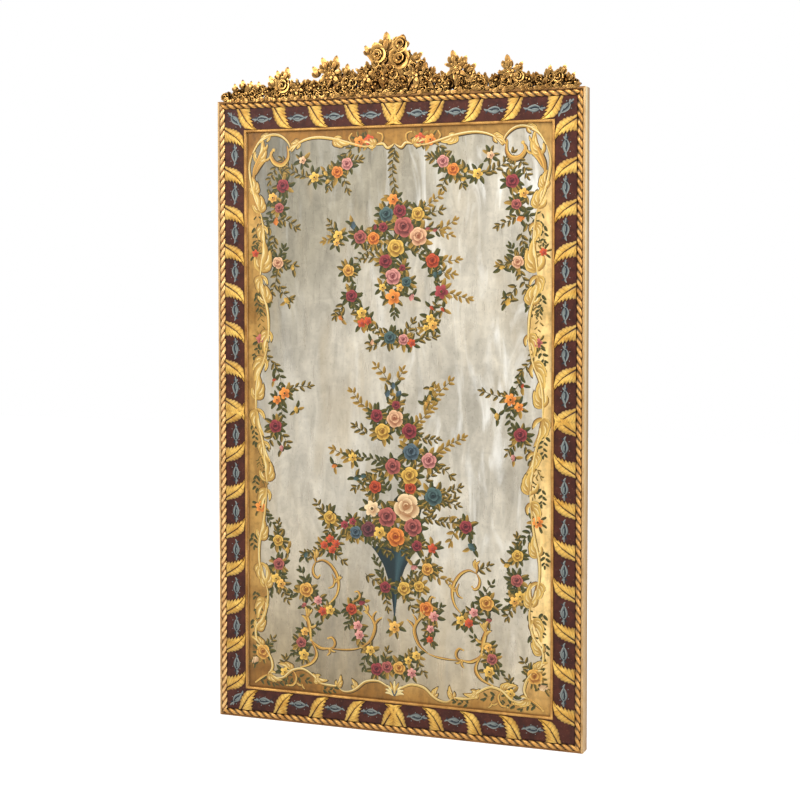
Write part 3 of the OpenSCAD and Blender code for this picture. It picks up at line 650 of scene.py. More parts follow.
def antiqued_plate(silver):
    """Old silvering: upright streaks, clouds and fine specks of tarnish, with painted shade, painted light
    and painted gleams
    """
    finish = Finish("antiqued_plate")
    parts = finish.parts()
    wide = finish.ramp(finish.noise(1.7, 5.0, finish.stretched((3.4, 1.0, 1.0)), 0.6),
                       (0.34, 0.84), (0.66, 1.13))
    fine = finish.ramp(finish.noise(5.0, 7.0, finish.stretched((5.0, 1.0, 1.4)), 1.2),
                       (0.36, 0.86), (0.52, 1.0), (0.7, 1.14))
    clouds = finish.ramp(finish.noise(4.2, 7.0, distortion=1.1), (0.36, 0.9), (0.62, 1.08))
    specks = finish.ramp(finish.noise(150.0, 5.0), (0.30, 0.80), (0.42, 1.0))
    # Painted shade and light: browner towards the foot, brighter to the right, greyer in the upper left
    # corner
    to_low = finish.times(parts["Z"], 0.5)
    to_low = finish.plus(to_low, finish.times(parts["X"], 0.16))
    low = finish.ramp(to_low, (0.04, (203, 190, 165)), (0.34, 1.0))
    right = finish.ramp(finish.plus(parts["X"], 0.5), (0.1, 0.97), (0.9, 1.12))
    to_corner = finish.minus(parts["Z"], finish.times(parts["X"], 0.9))
    corner = finish.ramp(finish.times(to_corner, 0.4), (0.57, 1.0), (0.71, (207, 205, 197)),
                         (0.88, (150, 150, 143)))
    colour = (*silver, 1.0)
    for layer in (wide, fine, clouds, specks, low, right, corner):
        colour = finish.mix(1.0, colour, layer, "MULTIPLY")
    mottle = finish.ramp(finish.noise(26.0, 6.0, distortion=1.4), (0.38, 0.9), (0.6, 1.05))
    colour = finish.mix(0.8, colour, mottle, "MULTIPLY")
    rust = finish.ramp(finish.noise(5.0, 6.0, finish.stretched((2.0, 1.0, 0.5)), 0.9),
                       (0.5, 0.0), (0.72, 0.4))
    colour = finish.mix(rust, colour, linear((178, 160, 128)))
    # Pale gleams, stronger to the right and weaker towards the foot
    strokes = finish.ramp(finish.noise(3.4, 7.0, finish.stretched((4.0, 1.0, 0.9)), 1.6),
                          (0.52, 0.0), (0.68, 1.0))
    to_right = finish.ramp(finish.plus(parts["X"], 0.5), (0.3, 0.12), (0.85, 0.6))
    gleam = finish.times(strokes, to_right)
    gleam = finish.times(gleam, finish.ramp(to_low, (0.2, 0.15), (0.5, 1.0)))
    colour = finish.mix(gleam, colour, linear((246, 244, 236)))
    rough = finish.ramp(finish.noise(9.0, 5.0, finish.stretched((6.0, 1.0, 0.8))),
                        (0.3, 0.24), (0.7, 0.42))
    finish.bump(finish.noise(60.0, 3.0), 0.05, 0.0004)
    return finish.done(colour, rough, 0.4)


def wood(name, light, dark, along_axis, scale=1.0):
    """Planed wood, its grain along one axis"""
    finish = Finish(name)
    stretch = [26.0 * scale] * 3
    stretch["XYZ".index(along_axis)] = 1.5 * scale
    grain = finish.noise(2.4, 7.0, finish.stretched(stretch), 1.1)
    colour = finish.ramp(grain, (0.28, dark), (0.5, light), (0.72, tuple(p * 0.9 for p in light)))
    pores = finish.ramp(finish.noise(14.0, 4.0, finish.stretched(stretch)), (0.32, 0.72), (0.44, 1.0))
    colour = finish.mix(0.7, colour, pores, "MULTIPLY")
    # Painted shade: darker in the hollows
    hollow_shade = finish.times(finish.hollows(0.02), 0.5)
    colour = finish.mix(hollow_shade, colour, linear((60, 42, 26)))
    finish.bump(grain, 0.2, 0.0008)
    return finish.done(colour, 0.62)


def metal(name, light, dark, roughness):
    """Drawn metal with fine scratches and dull patches"""
    finish = Finish(name)
    clouds = finish.ramp(finish.noise(60.0, 5.0), (0.35, dark), (0.62, light))
    scratches = finish.ramp(finish.noise(30.0, 4.0, finish.stretched((40.0, 40.0, 3.0))),
                            (0.4, 0.82), (0.55, 1.0))
    colour = finish.mix(0.8, clouds, scratches, "MULTIPLY")
    rough = finish.ramp(finish.noise(90.0, 4.0), (0.3, roughness), (0.7, roughness + 0.2))
    finish.bump(scratches, 0.1, 0.0003)
    return finish.done(colour, rough, 0.9)


def felt():
    """Pressed grey-green felt with a short nap"""
    finish = Finish("felt")
    colour = finish.ramp(finish.noise(320.0, 5.0), (0.3, (62, 66, 56)), (0.7, (98, 102, 88)))
    finish.bump(finish.noise(900.0, 4.0), 0.5, 0.0008)
    finish.shader.inputs["Sheen Weight"].default_value = 0.4
    return finish.done(colour, 0.95)


# The frame's four lengths
class Side:
    """One length of the frame. Places on it run along from the middle and across from the outer edge"""

    def __init__(self, name, centre, run, inward):
        self.name = name
        self.centre = Vector(centre)
        self.run = Vector(run)
        self.inward = Vector(inward)
        self.half = HALF_W if name in ("top", "bottom") else TOP_Z / 2

    def place(self, run, across, rise=0.0):
        """A point of this length, rise in front of the lip's face"""
        return self.centre + self.run * run + self.inward * across - Vector((0, rise, 0))


SIDES = (
    Side("left", (-HALF_W, LIP_Y, TOP_Z / 2), (0, 0, 1), (1, 0, 0)),
    Side("right", (HALF_W, LIP_Y, TOP_Z / 2), (0, 0, 1), (-1, 0, 0)),
    Side("top", (0, LIP_Y, TOP_Z), (1, 0, 0), (0, 0, -1)),
    Side("bottom", (0, LIP_Y, 0), (1, 0, 0), (0, 0, 1)),
)
FRIEZE_RISE = -2 * MM
FRIEZE_MIDDLE = (ROPE_IN + FILLET_OUT) / 2
SEAT_RISE = -4 * MM
ROPE_RADIUS = 10 * MM
TURN_STEPS = 20
ROPE_SIDES = 20
# How sharply a strand rounds off, and the girths at which its ink is deepest and lightest, as painted shade
# in the grooves and a painted highlight on the crowns
STRAND_ROUNDING = 1.05
DEEP_GIRTH = 0.66
LIGHT_GIRTH = 0.96
# Each rope length's ink and how much darker its inner flank is, both painted light: the left length takes a
# paler, lit ink, and a number below 0 lightens the inner flank
ROPE_INKS = {"left": ("lit_rope", -0.2), "right": ("rope", 0.5), "top": ("rope", 0.15),
             "bottom": ("rope", -0.1)}


def rope_length(side, settings):
    """One length of rope moulding: a lobed bar wound along its axis, flat behind, mitred at its ends"""
    axis = ROPE_IN - ROPE_RADIUS
    furthest = LIP_Y - CAD_BOX[0][1]
    bm = tray()
    steps = round(2 * side.half / settings.strand_pitch * TURN_STEPS)
    bmesh.ops.create_grid(bm, x_segments=ROPE_SIDES, y_segments=steps, size=1.0)
    for vert in bm.verts:
        angle = math.pi * vert.co.x
        vert.co = (math.cos(angle), math.sin(angle), vert.co.y)
    bmesh.ops.remove_doubles(bm, verts=bm.verts, dist=1e-5)
    hand = 1 if side.name == "bottom" else -1
    ink, inner_shade = ROPE_INKS[side.name]
    layer = bm.verts.layers.float_color[TINT]
    for vert in bm.verts:
        angle = math.atan2(vert.co.y, vert.co.x)
        run = side.half * vert.co.z
        lobe = abs(math.cos(settings.strands * angle / 2)) ** STRAND_ROUNDING
        girth = 1 - settings.strand_depth * (1 - lobe)
        turn = angle + hand * 2 * math.pi * run / settings.strand_pitch
        lit = (girth - DEEP_GIRTH) / (LIGHT_GIRTH - DEEP_GIRTH)
        # Painted light: shade in the grooves, highlights on the crowns and painted shade on the inner flank
        vert[layer] = blend_inks(ink, lit - inner_shade * math.cos(turn))
        rise = min(max(ROPE_RADIUS * girth * math.sin(turn), 0.0) + SEAT_RISE, furthest)
        vert.co = side.place(run, axis + ROPE_RADIUS * girth * math.cos(turn), rise)
    for end in (-1, 1):
        corner = side.place(end * side.half, 0)
        bmesh.ops.bisect_plane(
            bm, geom=bm.verts[:] + bm.edges[:] + bm.faces[:], dist=1e-6, plane_co=corner,
            plane_no=side.run * end + side.inward, clear_outer=True)
    bmesh.ops.holes_fill(bm, edges=[edge for edge in bm.edges if edge.is_boundary], sides=0)
    face_outward(bm)
    return bm


# A frieze leaf's left, middle and right lines: (share of its length, share of its width)
LEAF_LEFT = ((0, 0), (0.16, 0.10), (0.36, 0.17), (0.55, 0.24), (0.76, 0.40), (0.93, 0.60), (1, 1.05))
LEAF_RIB = ((0, 0.20), (0.2, 0.36), (0.4, 0.54), (0.6, 0.72), (0.85, 1.07), (1, 1.41))
LEAF_RIGHT = ((0, 1.0), (0.3, 1.08), (0.6, 1.2), (0.8, 1.27), (1, 1.43))
LEAF_TEETH = 6
LEAF_VEINS = 5
LEAF_ROWS = 30
LEAF_COLUMNS = 12
# Depths of the teeth on the left and the right edge, as shares of the leaf's width
LEFT_TOOTH = 0.09
RIGHT_TOOTH = 0.2
LEAF_THICKNESS = 1 * MM
# A frieze leaf's foot stands this share of its width past its place, and a row stops this short
LEAF_LEAD = 0.86
LEAF_CLEAR = 0.15


def line_at(line, share):
    """The second number of a line at a share of its first, straight between its points"""
    for (low, start), (high, end) in zip(line, line[1:]):
        if share <= high:
            return start + (end - start) * (share - low) / (high - low)
    return line[-1][1]


def frieze_leaf(side, foot, hand, settings, lift):
    """One gilt leaf across the frieze, its blades swelling on both sides of a sunk rib"""
    bm = tray()
    layer = bm.verts.layers.float_color[TINT]
    blade_place = bm.verts.layers.float_vector[BLADE]
    made = bmesh.ops.create_grid(
        bm, x_segments=LEAF_COLUMNS, y_segments=LEAF_ROWS, size=1.0)["verts"]
    reach = FILLET_OUT - ROPE_IN
    for vert in made:
        across, share = vert.co.x, (vert.co.y + 1) / 2
        tooth = (share * LEAF_TEETH) % 1.0
        rib = line_at(LEAF_RIB, share)
        if across < 0:
            edge = line_at(LEAF_LEFT, share) - LEFT_TOOTH * tooth * bulge(share)
        else:
            edge = line_at(LEAF_RIGHT, share)
            edge -= RIGHT_TOOTH * (1 - tooth) * bulge(share) ** 0.5
        run = rib + (edge - rib) * abs(across)
        swell = math.sin(math.pi * abs(across) ** 0.8) ** 0.8 if 0 < abs(across) < 1 else 0.0
        vein = math.sin(2 * math.pi * (share * LEAF_VEINS - abs(across) * 0.9))
        height = LEAF_THICKNESS + settings.leaf_relief * swell * (0.62 + 0.3 * share + 0.09 * vein)
        # Painted light: lighter on the swelling crowns, towards the tip and on the right half
        tone = 0.26 + 0.54 * swell + 0.4 * (share - 0.3) + (0.16 if across > 0 else -0.1) * abs(across)
        vert[layer] = blend_inks("leaf_gold", tone)
        vert[blade_place] = (across, share, 1.0)
        place_along = hand * (foot - run * settings.leaf_width)
        vert.co = side.place(place_along, ROPE_IN + share * reach, FRIEZE_RISE + height + lift)
    rim = [edge for edge in {e for v in made for e in v.link_edges} if edge.is_boundary]
    skirt = bmesh.ops.extrude_edge_only(bm, edges=rim)["geom"]
    back = [item for item in skirt if isinstance(item, bmesh.types.BMVert)]
    for vert in back:
        vert.co.y = LIP_Y - FRIEZE_RISE
        # Painted shade: the leaf's skirt takes the deepest tone
        vert[layer] = blend_inks("leaf_gold", 0.0)
    loose = [edge for edge in {e for v in back for e in v.link_edges} if edge.is_boundary]
    bmesh.ops.holes_fill(bm, edges=loose, sides=0)
    return bm


def leaf_feet(side, settings):
    """Distances from the middle at which the feet of a length's leaves stand"""
    fillet_width = 9 * MM
    room = side.half - FILLET_OUT - fillet_width - settings.leaf_width * LEAF_CLEAR
    count = int(room / settings.leaf_pitch) + 1
    return [i * settings.leaf_pitch + LEAF_LEAD * settings.leaf_width for i in range(count)]


# A husk's strokes: points from its middle, half width, ink, lift and how the width runs
HUSK_STROKES = (
    (((34, 0), (24, 1), (12, 0)), 2.4, "husk", 0.8, even),
    (((16, 0), (21, 3.4), (26, 6.6)), 2.6, "husk", 1.1, leafy),
    (((16, 0), (21, -3.4), (26, -6.6)), 2.4, "husk_dark", 1.0, leafy),
    (((20, 0), (0, 1), (-22, 0)), 8.4, "husk_dark", 0.7, leafy),
    (((17, 1), (0, 7.2), (-18, 3), (-27, 0)), 3.2, "husk", 1.3, leafy),
    (((17, -1), (2, -6.8), (-14, -4), (-24, 0)), 2.8, "husk", 1.2, leafy),
    (((11, 1), (0, 2.2), (-10, 1)), 2.2, "husk", 1.5, leafy),
    (((-19, 0), (-28, 1), (-36, -3)), 2.8, "husk", 1.0, leafy),
    (((-20, 1), (-26, 5), (-30, 10)), 1.8, "husk_dark", 1.0, leafy),
)


def husk(bm, place, hand=1):
    """A painted husk: a stem with a flared collar, a swelling body and a slim curved tail"""
    rise = 0.4 * MM

    taller, broader = 1.2, 1.3
    for points, width, ink, lift, width_at in HUSK_STROKES:
        line = [(hand * x, taller * z) for x, z in points]
        stroke(bm, place, line, width * broader, rise * lift, ink, width_at)
    for x, z in ((14, 12), (-6, 14), (-20, -13), (8, -14)):
        spot(bm, place, (hand * x, z), 1.6, rise, "husk", 0.2, 0.8, sides=6)


def side_husks(side, settings):
    """The husks between the leaves of one length"""
    bm = tray()
    feet = leaf_feet(side, settings)
    for hand in (-1, 1):
        for foot in feet[:-1]:
            centre = hand * (foot + (settings.leaf_pitch - 1.1 * settings.leaf_width) / 2)

            def place(x, z, rise, centre=centre):
                return side.place(centre + x, FRIEZE_MIDDLE + z, FRIEZE_RISE + rise)

            husk(bm, place, hand)
    return bm


def corner_husks():
    """A husk laid slantwise in each upper corner of the frieze and in the lower left one"""
    bm = tray()
    for across, up in ((-1, 1), (1, 1), (-1, -1)):
        height = TOP_Z - FRIEZE_MIDDLE if up > 0 else FRIEZE_MIDDLE
        centre = Vector((across * (HALF_W - FRIEZE_MIDDLE), LIP_Y, height))

        def place(x, z, rise, centre=centre, across=across, up=up):
            slant = Vector((across * (x - z), 0, up * (x + z))) * math.sqrt(0.5)
            return centre + slant - Vector((0, FRIEZE_RISE + rise, 0))

        husk(bm, place)
    return bm


# The painting on the plate
def on_plate(x, z, rise):
    """A point of the plate, rise in front of the glass"""
    return Vector((x, PLATE_Y - rise, z))


def rose(bm, centre, radius, ink, rise, rng):
    """A painted rose: broad light petals round a cup that sits a little high, and a dark heart"""
    outer, inner = 5, 3
    turn = rng.uniform(0, 360 / outer)
    shade = (centre[0] + 0.8, centre[1] - 1.4)
    spot(bm, on_plate, shade, radius * 1.07, rise * 0.9, "green", 0.0, 0.1, sides=12)
    spot(bm, on_plate, centre, radius * 0.92, rise * 1.2, ink, 0.05, 0.35, sides=14)
    for i in range(outer):
        start = turn + i * 360 / outer + rng.uniform(-9, 9)
        tone = 0.5 + 0.12 * math.sin(math.radians(start - 40))
        arc_stroke(bm, on_plate, centre, radius * 0.73, start, -88, radius * 0.25, rise * (1.6 + 0.12 * i),
                   ink, swelling, tone)
    cup = (centre[0] - 0.05 * radius, centre[1] + 0.1 * radius)
    for i in range(inner):
        arc_stroke(bm, on_plate, cup, radius * 0.4, turn + i * 360 / inner, -140, radius * 0.17,
                   rise * (2.3 + 0.1 * i), ink, swelling, 0.5)
    spot(bm, on_plate, cup, radius * 0.22, rise * 3.0, ink, 0.0, 0.2, sides=8)
    arc_stroke(bm, on_plate, cup, radius * 0.15, turn + 200, -220, radius * 0.07, rise * 3.3, ink, swelling)


def star(bm, centre, radius, ink, rise, rng):
    """An open flower of five or six broad petals round a small eye"""
    count = rng.choice((5, 5, 6))
    turn = rng.uniform(0, 2 * math.pi)
    rows = ((count, radius, 0.9, 1.5, turn), (3, radius * 0.34, 0.7, 1.9, turn))

    def put(x, z, high):
        return on_plate((centre[0] + x) * MM, (centre[1] + z) * MM, high * rise)

    petalled(bm, put, rows, 1.7, ink, 24, 0.42, tones=(0.3, 1.0))
    eye = "crimson" if ink in ("pink", "red", "mauve") else "shadow"
    spot(bm, on_plate, centre, radius * 0.26, rise * 2.4, eye, 1.0, 0.3, sides=7)


def bud(bm, centre, radius, ink, rise, rng):
    """A closed flower in two sepals"""
    angle = rng.choice((-100, -80, 60, 110, 150, -150))
    base = polar(centre, angle + 180, radius)
    blade(bm, on_plate, base, angle, radius * 2.0, radius * 0.8, rise * 1.5, ink)
    blade(bm, on_plate, polar(base, angle + 90, radius * 0.25), angle + 12, radius * 1.6,
          radius * 0.3, rise * 2.0, ink)
    for turn in (-34, 34):
        blade(bm, on_plate, base, angle + turn, radius * 1.4, radius * 0.3, rise * 1.7, "green")


# How many leaves stand round each kind of flower, and the inks that they are drawn from
RUFFS = {rose: 11, star: 7, bud: 3}
RUFF_INKS = ("green", "green", "green", "green", "olive", "olive", "straw")


def painted_leaf(bm, base, angle, length, rise, ink, rng):
    """A pointed leaf with its lit half laid over it, olive on a green leaf and straw on others"""
    bend = rng.uniform(-0.1, 0.1)
    blade(bm, on_plate, base, angle, length, length * 0.26, rise, ink, bend)
    blade(bm, on_plate, polar(base, angle + 26, length * 0.14), angle + 4, length * 0.76,
          length * 0.08, rise * 1.5, "olive" if ink == "green" else "straw", bend)


def ruff(bm, centre, radius, count, rise, leaf, rng):
    """Leaves round a flower, in greens and olives"""
    start = rng.uniform(0, 360)
    for i in range(count):
        angle = start + (i + rng.uniform(-0.3, 0.3)) * 360 / count
        ink = rng.choice(RUFF_INKS)
        base = polar(centre, angle, radius * 0.5)
        length = radius * 0.5 + leaf * rng.uniform(0.7, 1.05)
        painted_leaf(bm, base, angle + rng.uniform(-16, 16), length, rise, ink, rng)


def sprig(bm, base, angle, length, ink, rise, leaf, rng):
    """A bent stem with leaves on both sides and one at its tip"""
    bend = rng.uniform(-0.12, 0.12)
    middle = polar(polar(base, angle, length * 0.5), angle + 90, length * bend)
    tip = polar(base, angle, length)
    stroke(bm, on_plate, (base, middle, tip), 1.1, rise * 0.8, "olive", even, sides=4)
    line = [Vector(point) for point in (base, middle, tip)]
    count = max(2, round(length / (leaf * 0.84)))
    for i in range(count):
        share = (i + 0.5) / count
        size = leaf * (1.2 - 0.3 * share) * rng.uniform(0.85, 1.1)
        for turn in (-46, 44):
            node = along(line, share + turn / 1200)
            painted_leaf(bm, node, angle + turn + rng.uniform(-14, 14), size, rise, ink, rng)
    painted_leaf(bm, tip, angle, leaf * 0.85, rise, ink, rng)


# Flowers that stand on both sides of the plate: kind, distance from the middle, height, radius, ink
SIDE_FLOWERS = (
    (star, 85, 1863, 15, "red"), (star, 118, 1858, 16, "orange"),
    (rose, 160, 1790, 18, "pink"), (rose, 193, 1765, 18, "orange"),
    (bud, 232, 1762, 9, "yellow"), (bud, 226, 1735, 9, "yellow"), (star, 272, 1750, 15, "yellow"),
    (star, 313, 1805, 11, "peach"), (rose, 382, 1725, 20, "crimson"),
    (star, 418, 1688, 14, "amber"), (rose, 395, 1655, 15, "mauve"), (bud, 408, 1612, 12, "orange"),
    (rose, 400, 1480, 18, "peach"), (bud, 350, 1465, 9, "yellow"), (star, 480, 1510, 11, "red"),
    (bud, 368, 1360, 12, "yellow"),
    (star, 464, 1236, 13, "mauve"), (star, 378, 1062, 17, "orange"),
    (star, 405, 1040, 13, "orange"), (bud, 415, 1105, 7, "red"), (bud, 336, 1010, 11, "yellow"),
    (rose, 410, 955, 20, "crimson"), (bud, 388, 885, 10, "pink"),
    (star, 465, 692, 16, "orange"), (rose, 402, 586, 17, "yellow"), (bud, 368, 556, 10, "yellow"),
    (rose, 400, 510, 18, "mauve"), (star, 410, 462, 15, "yellow"), (star, 392, 446, 14, "amber"),
    (rose, 457, 220, 23, "amber"), (bud, 484, 190, 14, "cream"), (star, 380, 160, 14, "yellow"),
    (rose, 303, 433, 22, "amber"), (star, 262, 402, 13, "pink"), (star, 246, 368, 13, "red"),
    (star, 220, 374, 14, "yellow"), (bud, 310, 382, 10, "mauve"), (star, 309, 297, 12, "amber"),
    (rose, 321, 262, 16, "mauve"), (star, 312, 222, 16, "yellow"),
)

# Flowers of the wreath, the bouquet and the garland below: kind, x, z, radius, ink
MIDDLE_FLOWERS = (
    (star, -5, 1676, 16, "orange"), (rose, 18, 1640, 20, "crimson"), (rose, -27, 1630, 22, "teal"),
    (rose, 78, 1630, 20, "yellow"), (rose, -38, 1590, 14, "crimson"), (rose, 31, 1590, 30, "mauve"),
    (bud, 110, 1585, 8, "mauve"), (bud, 134, 1580, 8, "mauve"), (rose, 80, 1560, 27, "peach"),
    (rose, 5, 1525, 26, "yellow"), (rose, 126, 1485, 21, "red"), (rose, -30, 1484, 20, "crimson"),
    (rose, -5, 1436, 24, "pink"), (rose, 26, 1463, 10, "crimson"), (star, -40, 1402, 11, "yellow"),
    (star, 18, 1402, 11, "amber"), (star, -5, 1372, 22, "orange"), (rose, 40, 1420, 15, "teal"),
    (bud, 56, 1372, 11, "pink"), (bud, 135, 1442, 10, "teal"), (bud, 151, 1448, 8, "teal"),
    (star, 155, 1390, 20, "crimson"), (bud, 124, 1340, 8, "red"), (bud, 160, 1335, 8, "red"),
    (star, 119, 1306, 13, "yellow"), (star, 127, 1285, 14, "amber"), (star, 104, 1277, 9, "yellow"),
    (rose, -15, 1245, 19, "teal"), (rose, 30, 1240, 16, "pink"), (star, 57, 1230, 12, "red"),
    (star, -190, 1565, 15, "yellow"), (star, -196, 1543, 10, "amber"), (bud, -140, 1596, 12, "blue"),
    (rose, -115, 1560, 20, "mauve"), (rose, -70, 1555, 19, "orange"), (bud, -66, 1590, 9, "crimson"),
    (rose, -155, 1455, 18, "amber"), (rose, -145, 1375, 18, "crimson"),
    (star, -110, 1322, 15, "yellow"), (star, -110, 1290, 13, "red"), (star, -90, 1297, 12, "red"),
    (bud, -76, 1230, 9, "peach"), (bud, -182, 1306, 9, "orange"),
    (bud, -5, 1095, 10, "blue"), (bud, -24, 1070, 11, "blue"), (bud, 15, 1070, 11, "blue"),
    (rose, 5, 1035, 13, "crimson"), (rose, -60, 1000, 19, "crimson"), (rose, 2, 992, 26, "peach"),
    (rose, -40, 950, 24, "yellow"), (rose, 50, 955, 23, "crimson"), (rose, 56, 890, 25, "blue"),
    (rose, -5, 842, 24, "mauve"), (rose, 51, 815, 26, "yellow"), (rose, -65, 775, 19, "red"),
    (rose, 53, 777, 18, "red"), (star, -142, 865, 14, "yellow"), (bud, -205, 836, 9, "orange"),
    (bud, -130, 800, 9, "teal"), (bud, -106, 808, 9, "teal"), (bud, 122, 1090, 8, "yellow"),
    (bud, 115, 1061, 9, "yellow"), (bud, 107, 1040, 8, "amber"), (rose, 115, 865, 23, "pink"),
    (rose, 130, 754, 27, "teal"), (rose, 75, 597, 16, "crimson"), (rose, -88, 640, 23, "plum"),
    (rose, -25, 682, 29, "mauve"), (rose, 62, 655, 27, "mauve"), (rose, 41, 716, 40, "cream"),
    (star, -76, 706, 23, "cream"), (rose, 5, 620, 28, "orange"), (star, -50, 632, 18, "yellow"),
    (rose, -131, 628, 19, "blue"), (star, -170, 650, 12, "crimson"), (star, -142, 662, 11, "crimson"),
    (rose, -220, 670, 20, "yellow"), (star, -240, 581, 12, "red"), (star, -220, 602, 12, "red"),
    (star, -199, 588, 12, "red"), (star, -213, 568, 12, "red"), (bud, -306, 545, 9, "teal"),
    (rose, 236, 665, 19, "crimson"), (bud, 256, 605, 14, "teal"), (star, 126, 592, 14, "red"),
    (rose, 110, 526, 18, "amber"), (bud, 65, 530, 11, "pink"), (rose, -31, 460, 17, "crimson"),
    (rose, 32, 460, 20, "yellow"), (rose, 82, 470, 16, "yellow"), (star, 0, 336, 17, "amber"),
    (rose, -146, 382, 17, "red"), (bud, -111, 406, 11, "crimson"), (star, -125, 331, 14, "pink"),
    (star, -119, 302, 14, "pink"), (rose, 106, 402, 21, "orange"), (star, 131, 380, 15, "pink"),
    (star, 120, 340, 11, "pink"), (star, 118, 306, 10, "red"),
    (star, -82, 256, 14, "yellow"), (rose, -60, 198, 19, "crimson"), (rose, -25, 208, 17, "mauve"),
    (rose, 16, 208, 19, "amber"), (star, 58, 196, 14, "pink"), (star, 46, 234, 11, "yellow"),
    (star, 73, 252, 13, "yellow"),
)

# Leaf sprigs on both sides: distance from the middle, height, angle, length, ink
SIDE_SPRIGS = (
    (138, 1842, -45, 42, "olive"), (250, 1755, 150, 34, "green"), (292, 1748, 34, 110, "olive"),
    (170, 1745, -110, 40, "olive"), (206, 1748, -60, 38, "olive"), (140, 1800, 170, 24, "olive"),
    (388, 1808, -112, 46, "olive"), (392, 1800, -58, 70, "olive"), (384, 1752, 100, 30, "olive"),
    (400, 1620, -155, 70, "olive"), (420, 1650, -52, 62, "green"), (424, 1600, -60, 78, "olive"),
    (392, 1500, 118, 30, "green"), (410, 1498, 48, 88, "green"), (400, 1462, -72, 100, "olive"),
    (385, 1480, 192, 44, "olive"), (398, 1412, -130, 62, "olive"), (428, 1372, -62, 60, "green"),
    (462, 1352, -96, 96, "olive"), (462, 1225, -124, 90, "olive"), (414, 1148, -112, 66, "green"),
    (372, 1068, 168, 84, "olive"), (384, 1046, -88, 78, "green"), (396, 934, -128, 44, "olive"),
    (418, 940, -64, 120, "olive"), (436, 850, -76, 70, "green"), (452, 680, -132, 70, "green"),
    (404, 604, 96, 40, "olive"), (400, 490, -120, 32, "green"), (420, 446, -58, 110, "green"),
    (396, 440, -120, 52, "olive"), (446, 352, -62, 62, "green"), (448, 236, 132, 40, "olive"),
    (470, 205, -40, 40, "olive"), (380, 174, 96, 30, "olive"), (300, 455, 62, 44, "green"),
    (322, 424, -8, 38, "green"), (250, 384, 205, 40, "olive"), (320, 250, -40, 40, "green"),
    (300, 300, 150, 44, "green"), (270, 535, 20, 44, "olive"), (412, 1570, -80, 52, "olive"),
    (470, 1560, -70, 34, "green"), (478, 1640, -104, 44, "green"), (466, 860, -100, 90, "olive"),
    (470, 1420, -100, 60, "green"),
)

# Leaf sprigs of the middle: x, z, angle, length, ink
MIDDLE_SPRIGS = (
    (2, 1838, -90, 134, "olive"), (92, 1642, 38, 74, "straw"), (96, 1618, 20, 62, "olive"),
    (142, 1580, 28, 62, "straw"), (144, 1578, -20, 44, "straw"), (146, 1484, 4, 62, "straw"),
    (172, 1388, -16, 74, "straw"), (160, 1450, -10, 34, "straw"), (74, 1236, 12, 62, "olive"),
    (-36, 1252, 146, 84, "olive"), (-52, 1226, 200, 30, "olive"), (44, 1262, 60, 40, "olive"),
    (-196, 1580, 130, 34, "olive"), (-170, 1350, -128, 50, "olive"), (-205, 1560, 200, 34, "straw"),
    (-20, 1105, 130, 66, "straw"), (8, 1110, 60, 40, "straw"), (-74, 1014, 138, 92, "straw"),
    (66, 974, 44, 90, "straw"), (96, 1010, 62, 92, "straw"), (128, 1050, 48, 86, "straw"),
    (72, 944, -10, 70, "olive"), (132, 880, 32, 112, "straw"), (134, 856, -36, 66, "olive"),
    (-30, 848, 168, 96, "green"), (-36, 836, 214, 120, "olive"), (-128, 866, 164, 84, "straw"),
    (-74, 792, 150, 26, "olive"), (150, 756, 24, 70, "olive"), (150, 744, -14, 60, "olive"),
    (90, 702, 24, 120, "olive"), (96, 690, -6, 128, "olive"), (180, 700, -50, 60, "straw"),
    (200, 655, -110, 44, "straw"), (-240, 684, 130, 40, "olive"), (-214, 650, -110, 34, "olive"),
    (-236, 566, 190, 62, "olive"), (-190, 604, 40, 48, "olive"), (-206, 560, -40, 44, "olive"),
    (-160, 640, -60, 34, "olive"), (92, 560, -30, 62, "olive"), (122, 516, -20, 60, "straw"),
    (-44, 480, 108, 70, "green"), (-34, 444, -78, 52, "olive"), (36, 442, -64, 48, "olive"),
    (48, 478, 70, 44, "olive"), (-100, 500, -30, 44, "olive"), (-140, 362, -120, 40, "green"),
    (-132, 398, 60, 30, "green"), (128, 398, 24, 30, "green"), (112, 384, -84, 84, "olive"),
    (-118, 288, -60, 36, "olive"), (-88, 244, -110, 46, "green"), (76, 240, -60, 48, "olive"),
    (-36, 226, 70, 36, "olive"), (30, 226, 60, 40, "olive"), (0, 1350, -90, 34, "green"),
    (-66, 616, -62, 46, "green"), (-34, 610, -80, 40, "olive"), (-4, 606, -98, 44, "green"),
    (26, 606, -76, 42, "olive"), (56, 616, -104, 48, "green"), (94, 622, -130, 60, "green"),
    (-96, 610, -20, 50, "green"), (4, 612, -60, 36, "green"),
    (110, 700, 60, 60, "olive"), (-60, 720, 130, 60, "olive"), (-20, 760, 110, 50, "green"),
    (100, 800, 40, 60, "olive"), (20, 930, 80, 50, "green"), (-90, 940, 150, 50, "olive"),
    (0, 1550, 200, 50, "green"), (50, 1520, -20, 46, "green"), (-60, 1500, 190, 40, "olive"),
)


def flowers(bm, rows, settings, seed):
    """Flowers with leaves round them, in the order of rows"""
    rng = random.Random(seed)
    rise, scale = settings.paint_rise, settings.flower_size
    for kind, x, z, radius, ink in rows:
        ruff(bm, (x, z), radius * scale, RUFFS[kind], rise * 0.7, settings.leaf_size, rng)
    for kind, x, z, radius, ink in rows:
        kind(bm, (x, z), radius * scale, ink, rise, rng)


def sprigs(bm, rows, settings, seed):
    """Leaf sprigs in the order of rows"""
    rng = random.Random(seed)
    for x, z, angle, length, ink in rows:
        sprig(bm, (x, z), angle, length, ink, settings.paint_rise * 0.6, settings.leaf_size, rng)


def turned(rows, hand):
    """Rows of (x, z, angle, more) on the right, or turned over for the left side"""
    if hand > 0:
        return rows
    return [(-x, z, 180 - angle, *more) for x, z, angle, *more in rows]


